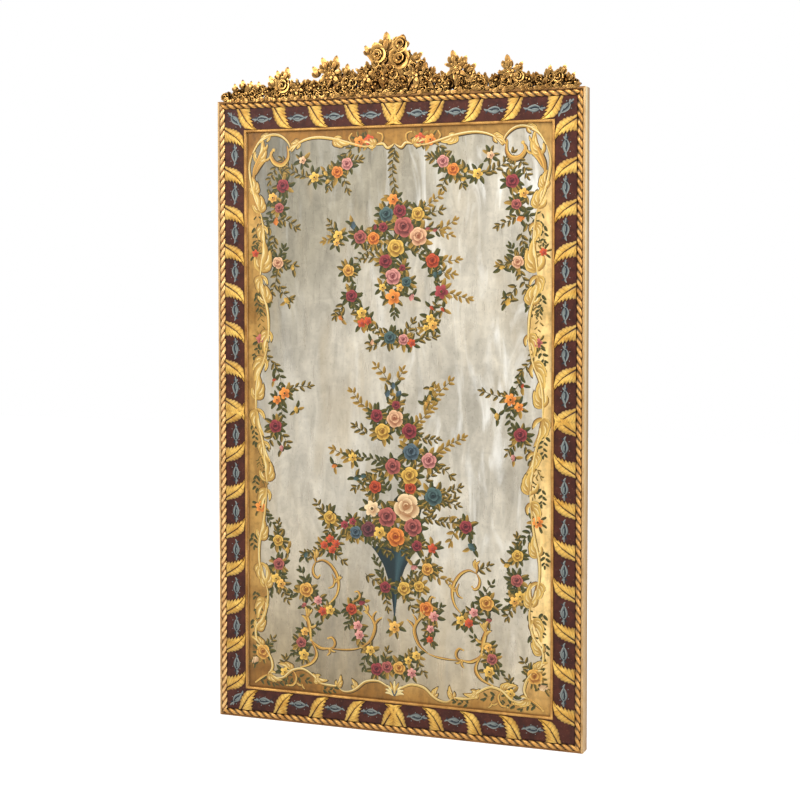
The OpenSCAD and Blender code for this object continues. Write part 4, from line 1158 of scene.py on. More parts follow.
# The border's inner line on the right, as scrolls that follow each other down from the middle
BORDER_SCROLLS = (
    ((0, 1848), (22, 1836), (38, 1850), (62, 1846)),
    ((62, 1846), (100, 1842), (140, 1852), (206, 1870), (270, 1876), (322, 1862), (352, 1832)),
    ((352, 1832), (362, 1862), (392, 1886), (428, 1888), (464, 1868), (490, 1828)),
    ((490, 1828), (501, 1790), (497, 1745), (482, 1688), (462, 1642)),
    ((462, 1642), (452, 1590), (450, 1530), (458, 1478), (463, 1438)),
    ((463, 1438), (459, 1390), (440, 1335), (434, 1276), (436, 1222)),
    ((436, 1222), (450, 1168), (472, 1115), (480, 1056), (479, 1002)),
    ((479, 1002), (468, 945), (456, 900), (447, 836), (440, 762)),
    ((440, 762), (448, 690), (456, 636), (470, 570), (468, 500), (450, 446)),
    ((450, 446), (439, 408), (452, 340), (482, 296), (478, 254), (456, 238)),
    ((456, 238), (432, 206), (424, 172), (440, 146)),
    ((440, 146), (412, 138), (384, 142), (352, 168), (314, 175), (276, 154), (260, 134)),
    ((260, 134), (226, 131), (196, 131)),
    ((196, 131), (176, 116), (150, 118), (128, 130), (98, 154), (58, 160), (28, 148), (0, 134)),
)


def border_line():
    """The border's inner line down the right side, as points in millimetres"""
    steps = 10
    points = []
    for scroll in BORDER_SCROLLS:
        line = [Vector(point) for point in scroll]
        count = steps * (len(line) - 1)
        points += [along(line, i / count) for i in range(count)]
    points.append(Vector(BORDER_SCROLLS[-1][-1]))
    return points


def border_sheet(settings):
    """Gold leaf on the plate from the fillets in to the scrolled line"""
    half = border_line()
    inner = [(x * MM, z * MM) for x, z in half]
    inner += [(-x * MM, z * MM) for x, z in reversed(half[1:-1])]
    # Its outer edge is tucked under the fillets
    tuck = 1 * MM
    edge, high, low = SIGHT_X + tuck, SIGHT_HIGH + tuck, SIGHT_LOW - tuck
    outer = [(edge, high), (edge, low), (-edge, low), (-edge, high)]
    curve = bpy.data.curves.new("border_outline", "CURVE")
    curve.dimensions = "2D"
    curve.fill_mode = "BOTH"
    curve.extrude = settings.gilding_rise
    for points in (outer, inner):
        spline = curve.splines.new("POLY")
        spline.points.add(len(points) - 1)
        for point, (x, z) in zip(spline.points, points):
            point.co = (x, z, 0, 1)
        spline.use_cyclic_u = True
    holder = bpy.data.objects.new("border_outline", curve)
    bpy.context.scene.collection.objects.link(holder)
    bpy.context.view_layer.update()
    flat = bpy.data.meshes.new_from_object(holder)
    bm = tray()
    bm.from_mesh(flat)
    bpy.data.objects.remove(holder)
    bpy.data.meshes.remove(flat)
    bpy.data.curves.remove(curve)
    stand = Matrix.Translation((0, PLATE_Y, 0)) @ Matrix.Rotation(math.pi / 2, 4, "X")
    bmesh.ops.transform(bm, matrix=stand, verts=bm.verts)
    bmesh.ops.remove_doubles(bm, verts=bm.verts, dist=1e-6)
    face_outward(bm)
    return bm


# Gilt leaf tips that grow where the border's scrolls meet: distance from the middle, height, angle, length
BORDER_LEAVES = (
    (472, 1800, 108, 58), (482, 1700, 84, 44), (462, 1640, 74, 60), (456, 1600, -96, 52),
    (460, 1450, 96, 84), (462, 1440, -100, 60), (440, 1350, 68, 62), (434, 1262, -74, 56),
    (448, 1175, -62, 66), (480, 1040, 100, 62), (480, 1010, -104, 70), (458, 905, -110, 56),
    (440, 775, 82, 70), (442, 752, -74, 60), (466, 585, 102, 56), (468, 510, -108, 60),
    (448, 430, 96, 58), (450, 395, -66, 58), (480, 290, 116, 52), (458, 238, 38, 40),
    (440, 150, -160, 44), (352, 168, 24, 40), (276, 152, 190, 36), (262, 134, 60, 28),
    (196, 130, 112, 30), (132, 128, 70, 26), (62, 1846, 16, 40), (206, 1868, 200, 44),
    (322, 1862, -30, 36), (428, 1888, -30, 36),
)

# Gilt scrolls that stand free of the border, on both sides: width, then points
FREE_SCROLLS = (
    (5.0, ((268, 524), (246, 532), (220, 520), (198, 490), (191, 455), (200, 420), (222, 395))),
    (4.4, ((270, 524), (280, 505), (277, 484), (264, 474), (256, 482))),
    (4.4, ((268, 522), (273, 540), (268, 558))),
    (3.4, ((214, 490), (206, 470), (210, 452), (224, 444))),
    (7.0, ((304, 356), (298, 336), (292, 310), (287, 272))),
    (5.0, ((286, 272), (272, 258), (250, 248), (222, 250))),
    (4.4, ((222, 250), (208, 256), (204, 272), (214, 286), (228, 282))),
    (2.8, ((222, 250), (180, 250), (140, 254), (112, 262))),
    (5.4, ((286, 268), (270, 240), (270, 218), (288, 196), (322, 180))),
    (3.4, ((228, 252), (222, 238), (230, 228))),
    (5.4, ((112, 262), (86, 282), (72, 306), (66, 336), (78, 360), (96, 374))),
    (3.8, ((66, 336), (58, 352), (44, 362))),
    (3.6, ((70, 346), (72, 366), (62, 380))),
    (4.0, ((146, 404), (126, 412), (117, 426), (124, 440), (134, 438))),
    (8.0, ((366, 1852), (364, 1815), (384, 1793), (410, 1799), (424, 1822), (415, 1840))),
    (8.0, ((486, 1742), (482, 1776), (466, 1812), (448, 1846))),
    (6.0, ((480, 1760), (464, 1790), (446, 1806))),
    (3.6, ((62, 1846), (42, 1858), (40, 1878), (56, 1884))),
    (3.6, ((140, 1853), (152, 1870), (144, 1884))),
    (4.6, ((352, 168), (340, 146), (350, 122), (372, 118))),
    (4.4, ((440, 148), (462, 136), (484, 118))),
)

# Leaf tips on the free scrolls: distance from the middle, height, angle, length
SCROLL_LEAVES = (
    (300, 350, 70, 36), (306, 340, 108, 38), (298, 328, 44, 32), (304, 354, 140, 30),
    (294, 312, 156, 30), (290, 296, 30, 30), (206, 462, 130, 34), (204, 474, 160, 28),
    (92, 370, 66, 32), (98, 372, 104, 30), (84, 366, 30, 26), (222, 250, 204, 24),
    (270, 540, 62, 26), (272, 538, 116, 26), (268, 536, 90, 32), (454, 1842, 86, 30),
    (452, 1836, 124, 30), (448, 1806, 146, 28), (340, 130, 200, 24), (320, 128, 236, 22),
)

# Dark sprays on the gilding: distance from the middle, height, angle, length
BORDER_SPRAYS = (
    (482, 1600, -92, 60), (474, 1390, -98, 62), (470, 1230, -74, 52), (490, 960, -96, 62),
    (476, 800, -88, 50), (486, 610, -88, 46), (484, 420, -92, 66), (492, 330, -98, 54),
    (470, 130, 192, 56), (404, 126, 176, 48), (340, 150, 196, 44), (250, 116, 172, 48),
)


def acanthus(bm, base, angle, length, hand, rise):
    """A gilt leaf tip of four slim blades in a dark edge, which all curl to one side"""
    for turn, share, bend in ((38, 0.55, 0.24), (-28, 0.6, -0.14), (16, 0.85, 0.18), (-4, 1.2, 0.12)):
        lean = angle + hand * turn
        reach = length * share * 1.14
        broad = 3.4 + reach * 0.09
        blade(bm, on_plate, base, lean, reach + 3, broad + 1.7, rise * 0.9, "shadow", hand * bend)
        blade(bm, on_plate, base, lean, reach, broad, rise * 1.8, "scroll", hand * bend)
        blade(bm, on_plate, polar(base, lean, reach * 0.3), lean + hand * 4, reach * 0.5,
              broad * 0.34, rise * 2.4, "pale", hand * bend)


def gilt_stroke(bm, points, width, rise, light="pale"):
    """A scroll in relief: its dark edge, its gold body and the light along its crest"""
    rings = 5 + 4 * (len(points) - 1)
    shade = [(x + 1.0, z - 1.2) for x, z in points]
    crest = [(x - 0.2 * width, z + 0.3 * width) for x, z in points]
    stroke(bm, on_plate, shade, width * 1.35 + 0.8, rise * 0.9, "shadow", swelling, rings=rings)
    stroke(bm, on_plate, points, width, rise * 1.7, "scroll", swelling, rings=rings)
    stroke(bm, on_plate, crest, width * 0.55, rise * 2.4, light, swelling, rings=rings)


def border_scrolls(rise, seed):
    """The scrolls along the border's inner line, the leaf tips at their ends and the dark sprays"""
    bm = tray()
    rng = random.Random(seed)
    for hand in (-1, 1):
        for scroll in BORDER_SCROLLS:
            gilt_stroke(bm, [(hand * x, z) for x, z in scroll], 5.0, rise)
        for x, z, angle, length in turned(BORDER_LEAVES, hand):
            acanthus(bm, (x, z), angle, length, hand, rise)
        for x, z, angle, length in turned(BORDER_SPRAYS, hand):
            sprig(bm, (x, z), angle, length, "green", rise * 0.9, 21.0, rng)
    return bm


def free_scrolls(rise):
    """The gilt scrolls that stand free of the border"""
    bm = tray()
    for hand in (-1, 1):
        for width, points in FREE_SCROLLS:
            line = [(hand * x, z) for x, z in points]
            gilt_stroke(bm, line, width, rise, "amber")
            spot(bm, on_plate, line[-1], width * 0.75, rise * 1.9, "scroll", 0.9, 0.4, sides=8)
        for x, z, angle, length in turned(SCROLL_LEAVES, hand):
            broad, bend = length * 0.17, hand * 0.14
            blade(bm, on_plate, (x, z), angle, length + 2, broad + 1.2, rise * 1.2, "shadow", bend)
            blade(bm, on_plate, (x, z), angle, length, broad, rise * 1.9, "scroll", bend)
    return bm


# Half width of the painted vase at shares of its height, from its foot to its mouth
VASE_LINE = ((0, 0.6), (0.2, 5), (0.42, 13), (0.46, 15), (0.5, 17), (0.72, 36), (0.88, 60), (1, 86))
VASE_FOOT = 352
VASE_MOUTH = 596


def vase(rise):
    """A tapering painted vase with a lit flank, its waist bound with a stem"""
    bm = tray()

    def shape(share, across, out):
        z = VASE_FOOT + (VASE_MOUTH - VASE_FOOT) * share
        return on_plate(across * line_at(VASE_LINE, share) * MM, z * MM, out * rise * 0.3)

    def tint(share, across, out):
        lit = math.exp(-((across - 0.35) / 0.22) ** 2)
        return blend_inks("vase", 0.12 + 0.75 * lit + 0.12 * share)

    form(bm, 24, 26, shape, tint)
    stroke(bm, on_plate, ((-34, 462), (0, 453), (34, 462)), 1.6, rise * 1.8, "olive", even)
    return bm


def palmette(bm, rise):
    """The yellow palmette at the foot of the plate, with a blue heart"""
    base = (0, 118)
    for turn in (-78, -58, -38, -19, 0, 19, 38, 58, 78):
        length = 52 - abs(turn) * 0.22
        bend = -turn * 0.002
        ink = "pale" if turn % 2 == 0 else "yellow"
        blade(bm, on_plate, base, 90 + turn, length + 2, 6.4, rise * 1.2, "shadow", bend)
        blade(bm, on_plate, base, 90 + turn, length, 5.4, rise * 1.9, ink, bend)
    for turn in (-24, 24):
        blade(bm, on_plate, (0, 116), 90 + turn, 30, 4.2, rise * 2.4, "blue")


def wreath_stem(bm, rise, seed):
    """The ring of small leaves that ties the wreath's flowers together"""
    rng = random.Random(seed)
    centre, radius = (2, 1400), 150
    first, last = 108, 432
    for angle in range(first, last, 7):
        base = polar(centre, angle, radius + rng.uniform(-5, 5))
        for turn in (38, 142):
            size = rng.uniform(15, 21)
            ink = rng.choice(("green", "olive", "olive"))
            painted_leaf(bm, base, angle + 90 + (turn - 90) * 1.3, size, rise * 0.6, ink, rng)
    for start in range(first, last, 54):
        arc_stroke(bm, on_plate, centre, radius, start, 56, 0.8, rise * 0.5, "olive", even)


# The carved crest: each piece's forms, placed from its middle and above the frame's top
CREST_FORMS = {
    "crest_centre": (
        ("rose", -56, 128, 33), ("rose", 18, 112, 35), ("rose", 20, 155, 27),
        ("bud", -26, 138, 58, 0), ("bud", -82, 126, 34, -28), ("bud", 66, 104, 36, 52),
        ("bud", 98, 62, 36, 8), ("fan", -100, 62, 34, (20, 80, 140, 200, 260, 320)),
        ("fan", 66, 62, 32, (0, 60, 120, 180, 240, 300)), ("floret", -24, 60, 20),
        ("floret", 30, 40, 18), ("floret", -62, 34, 17), ("floret", -110, 26, 15),
        ("floret", 106, 30, 15), ("floret", 0, 82, 15)),
    "crest_fan_left": (
        ("fan", -1, 74, 38, (-40, 10, 60, 120, 165, 215, 265)), ("bud", -11, 84, 46, -24),
        ("bud", 11, 86, 46, 14), ("bud", -39, 66, 40, -34), ("bud", 53, 68, 36, 10),
        ("floret", 55, 42, 20), ("floret", -55, 38, 18), ("floret", -17, 26, 15), ("floret", 25, 26, 15)),
    "crest_fan_right": (
        ("fan", -11, 72, 38, (-35, 10, 60, 105, 160, 215, 265)), ("bud", -17, 84, 45, -10),
        ("bud", 3, 72, 42, 26), ("bud", 25, 58, 38, 46), ("floret", -65, 36, 19),
        ("floret", -35, 26, 15), ("floret", 9, 26, 15), ("floret", 61, 34, 19)),
    "crest_rose_left": (
        ("rose", -4, 46, 29), ("bud", 5, 62, 42, 14), ("bud", -15, 62, 32, -14),
        ("bud", -31, 42, 40, -30), ("fan", 47, 36, 26, (30, 90, 150, 210, 270, 330)),
        ("floret", -55, 28, 17), ("floret", 59, 24, 14)),
    "crest_fan_outer": (
        ("fan", -5, 52, 34, (-20, 30, 80, 130, 180, 230, 280)), ("bud", -9, 62, 45, -4),
        ("bud", 21, 56, 32, 30), ("rose", 25, 40, 20), ("floret", -47, 30, 18), ("floret", 59, 28, 16)),
    "crest_end_left": (
        ("bud", -23, 30, 28, -10), ("bud", 3, 38, 31, -4), ("bud", 29, 34, 30, 6), ("bud", 57, 32, 29, 4),
        ("floret", -52, 20, 13), ("floret", -11, 26, 15), ("floret", 27, 24, 15), ("floret", 55, 22, 14)),
    "crest_end_right": (
        ("bud", -27, 38, 31, 8), ("bud", 13, 40, 32, 22), ("bud", 39, 20, 28, 30), ("rose", 1, 34, 19),
        ("floret", -51, 26, 16), ("floret", -27, 22, 13), ("floret", 37, 22, 14)),
}

# The tops of the foliage behind the forms, from left to right of each piece
CREST_TOPS = {
    "crest_centre": (84, 104, 128, 150, 150, 132, 108, 80),
    "crest_fan_left": (56, 60, 74, 88, 84, 78),
    "crest_fan_right": (58, 62, 76, 76, 60, 52),
    "crest_rose_left": (46, 52, 60, 60, 56),
    "crest_fan_outer": (46, 56, 60, 54, 46),
    "crest_end_left": (20, 36, 50, 52, 46),
    "crest_end_right": (46, 50, 52, 42, 20),
}


# The furthest that leaves and petals stand in front of the crest's back, in millimetres
CARVED_DEPTH = 29.3
# Heights of a large rose's rim and heart in front of the crest's back, in millimetres
ROSE_HEIGHTS = (17.0, 26.0)


def in_crest(x, z, out):
    """A point of the crest in millimetres, in front of its flat back and inside the frame's box"""
    return Vector((x * MM, max(CREST_BACK - out * MM, CAD_BOX[0][1]), min(TOP_Z + z * MM, CREST_TOP)))


def axes(lean):
    """The directions along and across a form that leans this many degrees to the right"""
    turn = math.radians(lean)
    axis = Vector((math.sin(turn), math.cos(turn)))
    return axis, Vector((axis.y, -axis.x))


def full(share):
    """Width of a carved leaf or petal: full almost to its blunt tip"""
    return max(0.0, math.sin(math.pi * share ** 1.15)) ** 0.6


def carved_boss(bm, centre, radius, front, high, sides=10, rings=7, tone=1.1):
    """A round heart that stands forward, with a painted highlight on its crown that darkens towards its rim
    """

    def shape(share, across, out):
        reach = radius * bulge(share)
        rise = front + high * math.cos(math.pi * share)
        return in_crest(centre[0] + reach * across, centre[1] + reach * out, rise)

    form(bm, sides, rings, shape, lambda share, across, out: blend_inks("carved", tone - share))


def carved_leaf(bm, x, z, length, width, lean, front, curl=3.0, fold=2.2, sway=0.06, ribs=0, thick=1.8):
    """A leaf or petal, folded along its middle, bent aside and curled forward at its tip"""
    axis, side = axes(lean)

    def shape(share, across, out):
        body = width * full(share)
        if ribs:
            body *= 1 - 0.16 * abs(math.sin(math.pi * ribs * share)) * abs(across)
        aside = across * body + bulge(share) * length * sway
        here = Vector((x, z)) + axis * (length * share) + side * aside
        spread = across * across * full(share)
        rise = front + curl * share ** 2 + fold * spread + out * thick * full(share) ** 0.5
        return in_crest(*here, min(rise, CARVED_DEPTH))

    # Painted light: lighter towards the tip and on the raised, folded edges
    def tint(share, across, out):
        return blend_inks("carved", -0.05 + 0.4 * share + 0.75 * across * across + 0.12 * out)

    form(bm, 10, 10, shape, tint)


def carved_lip(bm, centre, reach, start, sweep, width, high):
    """A thick rose petal that curls round the heart, its outer lip raised and its end tucked in"""

    def shape(share, across, out):
        body = width * (0.3 + 0.7 * bulge(share) ** 0.6)
        x, z = polar(centre, start + sweep * share, reach * (1.18 - 0.36 * share) + across * body)
        rise = high + 3.8 * across + 2.4 * out + 2.6 * (0.5 - share)
        return in_crest(x, z, min(rise, CARVED_DEPTH))

    # Painted light: the raised outer lip is lighter and the tucked inner edge darker
    def tint(share, across, out):
        return blend_inks("carved", 0.4 + 0.56 * across + 0.2 * out)

    form(bm, 9, 9, shape, tint)


# A carved rose's rows: petals, reach and half width over its radius, and share of its height
ROSE_ROWS = ((3, 0.64, 0.35, 0.0), (2, 0.32, 0.22, 0.4), (1, 0.12, 0.12, 0.7))
KNOT_ROWS = ((3, 0.66, 0.32, 0.0), (1, 0.26, 0.2, 0.8))


def carved_rose(bm, x, z, radius, rows, low, high, rng):
    """A rose of thick petals that curl round each other, from its rim at low to its heart at high"""
    carved_boss(bm, (x, z), radius * 0.86, low - 5.0, 4.6, sides=16, tone=0.4)
    apart = 72
    guard = rng.uniform(0, apart)
    for angle in range(0, 360, apart):
        carved_leaf(bm, x, z, radius * 1.16, radius * 0.46, guard + angle, low - 3.0, fold=1.6, sway=0.05)
    for petals, reach, width, share in rows:
        turn = rng.uniform(0, 360)
        front = low + (high - low) * share
        sweep = 480 / petals if petals > 1 else 330
        heart = polar((x, z), rng.uniform(0, 360), radius * 0.14 * share)
        for i in range(petals):
            carved_lip(bm, heart, radius * reach * rng.uniform(0.88, 1.04), turn + i * 360 / petals,
                       sweep * rng.uniform(0.85, 1.1), radius * width, front)


def carved_floret(bm, x, z, radius, rng, front=0.0):
    """A small open flower of five cupped petals round a button"""
    back = 7.0
    turn = rng.uniform(0, 2 * math.pi)
    rows = ((5, radius, 15.5 + front, 22.0 + front, turn),
            (3, radius * 0.42, 16.5 + front, 24.0 + front, turn + 0.4))

    def put(dx, dz, high):
        return in_crest(x + dx, z + dz, max(high, back))

    petalled(bm, put, rows, 21.0 + front, "carved", 30, 0.3)
    carved_boss(bm, (x, z), radius * 0.24, 22.5 + front, 2.6, sides=8, rings=6)


def carved_fan(bm, x, z, radius, turns):
    """A flower of long pointed petals in two rows round a beaded heart"""
    for i, turn in enumerate(turns):
        carved_leaf(bm, x, z, radius * 1.08, radius * 0.175, 90 - turn, 17.0 + 0.9 * (i % 3), curl=4.0,
                    fold=2.6, sway=0.02, thick=3.4)
        carved_leaf(bm, x, z, radius * 0.56, radius * 0.13, 62 - turn, 21.5 + 0.6 * (i % 3), curl=4.0,
                    fold=2.0, sway=-0.03, thick=2.4)
    carved_boss(bm, (x, z), radius * 0.2, 24.0, 3.6)
    for bead in range(7):
        place = polar((x, z), bead * 360 / 7, radius * 0.19)
        carved_boss(bm, place, radius * 0.07, 26.4, 2.2, sides=7, rings=5)


def carved_bud(bm, x, z, length, lean):
    """A bud of three folded petals round a pointed core"""
    axis, side = axes(lean)
    girth = 0.25 * length

    def shape(share, across, out):
        body = girth * max(0.0, math.sin(math.pi * share ** 0.7)) ** 0.8
        here = Vector((x, z)) + axis * (length * 0.94 * share) + side * (across * body)
        return in_crest(*here, 15.0 + 0.7 * out * body)

    # Painted highlight: the core lightens towards its tip
    form(bm, 12, 10, shape, lambda share, across, out: blend_inks("carved", 0.2 + 0.4 * share))
    carved_leaf(bm, x, z, length * 0.7, girth * 0.8, lean - 30, 15.5, curl=5.0, sway=-0.1)
    carved_leaf(bm, x, z, length * 0.66, girth * 0.8, lean + 30, 16.5, curl=5.0, sway=0.1)
    carved_leaf(bm, x, z, length, girth * 0.9, lean, 21.0, curl=-3.0, fold=2.0, sway=0.05)
    carved_leaf(bm, x, z, length * 0.6, girth * 0.6, lean + 12, 24.0, curl=0.0, fold=1.4, sway=-0.08)


def foliage_top(tops, share):
    """Height of the foliage at a share of a piece's width"""
    line = [((i + 0.5) / len(tops), top) for i, top in enumerate(tops)]
    return line_at([(0, line[0][1])] + line + [(1, line[-1][1])], share)


def carved_bed(bm, low, high, tops, strip):
    """The lumpy ground behind the leaves, in the carving's deepest tone as painted shade"""
    step = (high - low) / len(tops)
    for i, top in enumerate(tops):
        middle = low + (i + 0.5) * step
        base, peak = strip - 1.0, top - 5.0

        def shape(share, across, out, middle=middle, base=base, peak=peak):
            belly = bulge(share) ** 0.35
            z = base + (peak - base) * share
            wide = min(step * 0.74, middle - low + 0.1 if across < 0 else high - middle + 0.1)
            return in_crest(middle + across * belly * wide, z, 5.5 + 5.5 * out * belly)

        form(bm, 14, 12, shape, lambda share, across, out: blend_inks("carved", 0.0))


def carved_fill(bm, low, high, tops, strip, settings, rng):
    """Leaves, small roses and florets that fill the ground up to the outline"""
    step = settings.leaf_step / MM
    length = settings.leaf_length / MM
    # How far a leaf may pass its piece's ends, and how far a flower stays inside them
    pass_end, stay_in = 6, 9
    count = max(2, round((high - low) / step))
    for i in range(count):
        share = (i + 0.5) / count
        top = foliage_top(tops, share)
        rows = max(1, round((top - strip) / step))
        for row in range(rows):
            x = low + share * (high - low) + rng.uniform(-4, 4) + (row % 2 - 0.5) * step * 0.6
            z = strip + row * (top - strip - 8) / rows + rng.uniform(-2, 3)
            near_top = (row + 1) / rows
            lean = rng.uniform(-110, 110) * (1.15 - near_top) + 40 * (share - 0.5)
            upright = max(0.3, math.cos(math.radians(min(abs(lean), 80))))
            size = min(length * rng.uniform(0.66, 0.95), (top + 5 - z) / upright)
            reach = math.sin(math.radians(lean)) * size
            if not low - pass_end < x + reach < high + pass_end:
                lean = -lean
            front = 10.0 + rng.uniform(0, 6.5)
            carved_leaf(bm, x, z, size, size * 0.27, lean, front, rng.uniform(2, 7), ribs=2)
            if rng.random() < 0.5 and z + 10 < top:
                x = min(max(x, low + stay_in), high - stay_in)
                radius, lift = rng.uniform(11.0, 16.0), rng.uniform(-3.0, 0.5)
                if rng.random() < 0.5:
                    carved_floret(bm, x, z + 6, radius, rng, lift)
                else:
                    carved_rose(bm, x, z + 6, radius, KNOT_ROWS, 17.0 + lift, 23.0 + lift, rng)


def carved_skirt(bm, low, high, rng):
    """Loose leaves and small roses that droop over the lip towards the rope"""
    spacing, lowest = 10.0, -5.0
    count = round((high - low) / spacing)
    for i in range(count):
        x = low + (i + rng.uniform(0.1, 0.9)) * (high - low) / count
        lean = rng.choice((-1, 1)) * rng.uniform(60, 128)
        size = rng.uniform(13, 20)
        drop = rng.uniform(-1.0, 5.5)
        if drop + size * math.cos(math.radians(lean)) < lowest:
            lean = math.copysign(96, lean)
        carved_leaf(bm, x, drop, size, size * 0.3, lean, rng.uniform(24.0, 26.0), 1.2, 1.4, 0.03)
        if i % 3 == 1:
            x = min(max(x, low + 10), high - 10)
            carved_rose(bm, x, rng.uniform(4.0, 9.0), 9.0, KNOT_ROWS, 22.5, 26.0, rng)


def crest_piece(node, settings):
    """One carved length of the crest"""
    low, high = (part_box(node)[end][0] / MM for end in (0, 1))
    middle = (low + high) / 2
    strip = (STRIP_TOP - TOP_Z) / MM
    names = sorted(CREST_FORMS)
    rng = random.Random(settings.seed + names.index(node))
    bm = tray()
    carved_bed(bm, low, high, CREST_TOPS[node], strip)
    carved_fill(bm, low, high, CREST_TOPS[node], strip, settings, rng)
    carved_skirt(bm, low, high, rng)
    for kind, x, z, *sizes in CREST_FORMS[node]:
        x += middle
        if kind == "rose":
            carved_rose(bm, x, z, sizes[0], ROSE_ROWS, *ROSE_HEIGHTS, rng)
        elif kind == "fan":
            carved_fan(bm, x, z, sizes[0], sizes[1])
        elif kind == "floret":
            carved_floret(bm, x, z, sizes[0], rng)
        else:
            carved_bud(bm, x, z, sizes[0], sizes[1])
    return bm


# Operators
class MIRROR_OT_finish_frame(bpy.types.Operator):
    """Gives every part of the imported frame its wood, gold, metal or felt"""
    bl_idname = "mirror.finish_frame"
    bl_label = "Finish the frame"

    def execute(self, context):
        moulding = context.scene.mirror_moulding
        painting = context.scene.mirror_painting
        gilt = gilding("gilt_moulding", (196, 148, 80), (142, 98, 44), (52, 28, 8), 16.0, 0.7)
        steel = metal("steel", (150, 148, 142), (96, 94, 90), 0.34)
        brass = metal("brass", (206, 164, 84), (150, 112, 50), 0.3)
        pine_up = wood("pine_upright", (206, 166, 110), (166, 120, 70), "Z")
        pine_across = wood("pine_level", (206, 166, 110), (166, 120, 70), "X")
        beech_up = wood("beech_upright", (190, 140, 92), (152, 104, 62), "Z", 1.4)
        beech_back = wood("beech_level", (190, 140, 92), (152, 104, 62), "Y", 1.4)
        finishes = {
            painted_frame(moulding.frieze_colour): ("stile_", "rail_"),
            gilt: ("fillet_", "crest_strip"),
            antiqued_plate(painting.silver): ("mirror_plate",),
            felt(): ("plate_underlay", "base_pads", "foot_pad"),
            pine_up: ("backing_board", "back_post", "crest_props"),
            pine_across: ("back_rail",),
            beech_up: ("mitre_keys", "setting_blocks", "foot_upright", "foot_brace"),
            beech_back: ("foot_runner",),
            brass: ("hinge_plates", "hinge_pins", "hinge_flaps"),
            steel: ("board_screws", "corner_braces", "corner_screws", "crest_screws", "lap_screws",
                    "hinge_plate_screws", "flap_screws", "tie_"),
        }
        remade = ("rope_", "leaves_") + tuple(CREST_FORMS)
        for name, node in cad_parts.items():
            if name.startswith(remade):
                continue
            found = [finish for finish, starts in finishes.items() if name.startswith(starts)]
            if len(found) != 1:
                raise RuntimeError(f"{name} has {len(found)} finishes")
            for holder in node.material_slots:
                holder.material = found[0]
        return {"FINISHED"}


class MIRROR_OT_rope(bpy.types.Operator):
    """Winds the rope moulding along the four lengths of the frame"""
    bl_idname = "mirror.rope"
    bl_label = "Rope moulding"

    def execute(self, context):
        finish = gilding("gilt_rope", (244, 214, 160), (202, 166, 114), (44, 25, 8), 30.0, 0.8,
                         reach=0.009, patina_and_shade=0.95, tinted=True, shut_at=0.5)
        for side in SIDES:
            bm = rope_length(side, context.scene.mirror_moulding)
            settle(f"rope_moulding_{side.name}", bm, finish,
                   replaced=(f"rope_{side.name}",), crease=math.radians(60))
        return {"FINISHED"}


class MIRROR_OT_leaves(bpy.types.Operator):
    """Lays the gilt leaves across the frieze of each length"""
    bl_idname = "mirror.leaves"
    bl_label = "Frieze leaves"

    def execute(self, context):
        settings = context.scene.mirror_moulding
        finish = leaf_gilding()
        for side in SIDES:
            bm = tray()
            for hand in (-1, 1):
                for i, foot in enumerate(leaf_feet(side, settings)):
                    # In the middle the right leaf of the pair lies over the left one
                    lift = 0.7 * MM if i == 0 and hand > 0 else 0.0
                    lay(bm, frieze_leaf(side, foot, hand, settings, lift))
            settle(f"frieze_leaves_{side.name}", bm, finish,
                   replaced=(f"leaves_{side.name}",))
        return {"FINISHED"}


class MIRROR_OT_husks(bpy.types.Operator):
    """Paints the husks between the leaves and in the corners"""
    bl_idname = "mirror.husks"
    bl_label = "Painted husks"

    def execute(self, context):
        finish = enamel()
        for side in SIDES:
            bm = side_husks(side, context.scene.mirror_moulding)
            settle(f"painted_husks_{side.name}", bm, finish)
        settle("painted_husks_corners", corner_husks(), finish)
        return {"FINISHED"}


class MIRROR_OT_border(bpy.types.Operator):
    """Gilds the scrolled border on the plate and paints its lines and leaves"""
    bl_idname = "mirror.border"
    bl_label = "Gilt border"

    def execute(self, context):
        settings = context.scene.mirror_painting
        settle("plate_gilding", border_sheet(settings), border_gilding())
        finish = enamel()
        lines = border_scrolls(settings.paint_rise, settings.seed)
        settle("border_scrolls", lines, finish)
        settle("free_scrolls", free_scrolls(settings.paint_rise), finish)
        return {"FINISHED"}


class MIRROR_OT_painting(bpy.types.Operator):
    """Paints the garlands, the wreath and the bouquet in its vase on the plate"""
    bl_idname = "mirror.painting"
    bl_label = "Painted flowers"

    def execute(self, context):
        settings = context.scene.mirror_painting
        rise, seed = settings.paint_rise, settings.seed
        finish = enamel()
        for name, hand in (("left", -1), ("right", 1)):
            bm = tray()
            sprigs(bm, turned(SIDE_SPRIGS, hand), settings, seed + hand)
            rows = [(kind, hand * x, *more) for kind, x, *more in SIDE_FLOWERS]
            flowers(bm, rows, settings, seed + 10 * hand)
            settle(f"painted_garland_{name}", bm, finish)
        bm = tray()
        sprigs(bm, MIDDLE_SPRIGS, settings, seed + 3)
        wreath_stem(bm, rise, seed + 4)
        palmette(bm, rise)
        settle("painted_sprigs", bm, finish)
        bm = tray()
        flowers(bm, MIDDLE_FLOWERS, settings, seed + 20)
        settle("painted_bouquet", bm, finish)
        settle("painted_vase", vase(rise), finish)
        return {"FINISHED"}


class MIRROR_OT_crest(bpy.types.Operator):
    """Carves the crest's flowers, buds and leaves"""
    bl_idname = "mirror.crest"
    bl_label = "Carved crest"

    def execute(self, context):
        finish = gilding("gilt_carving", (226, 184, 122), (170, 126, 72), (40, 22, 8), 24.0, 0.85,
                         patina_and_shade=0.95, tinted=True, open_to=0.1, shut_at=0.6, polish=0.12)
        for node in CREST_FORMS:
            bm = crest_piece(node, context.scene.mirror_carving)
            settle(node.replace("crest", "carving"), bm, finish, replaced=(node,))
        return {"FINISHED"}


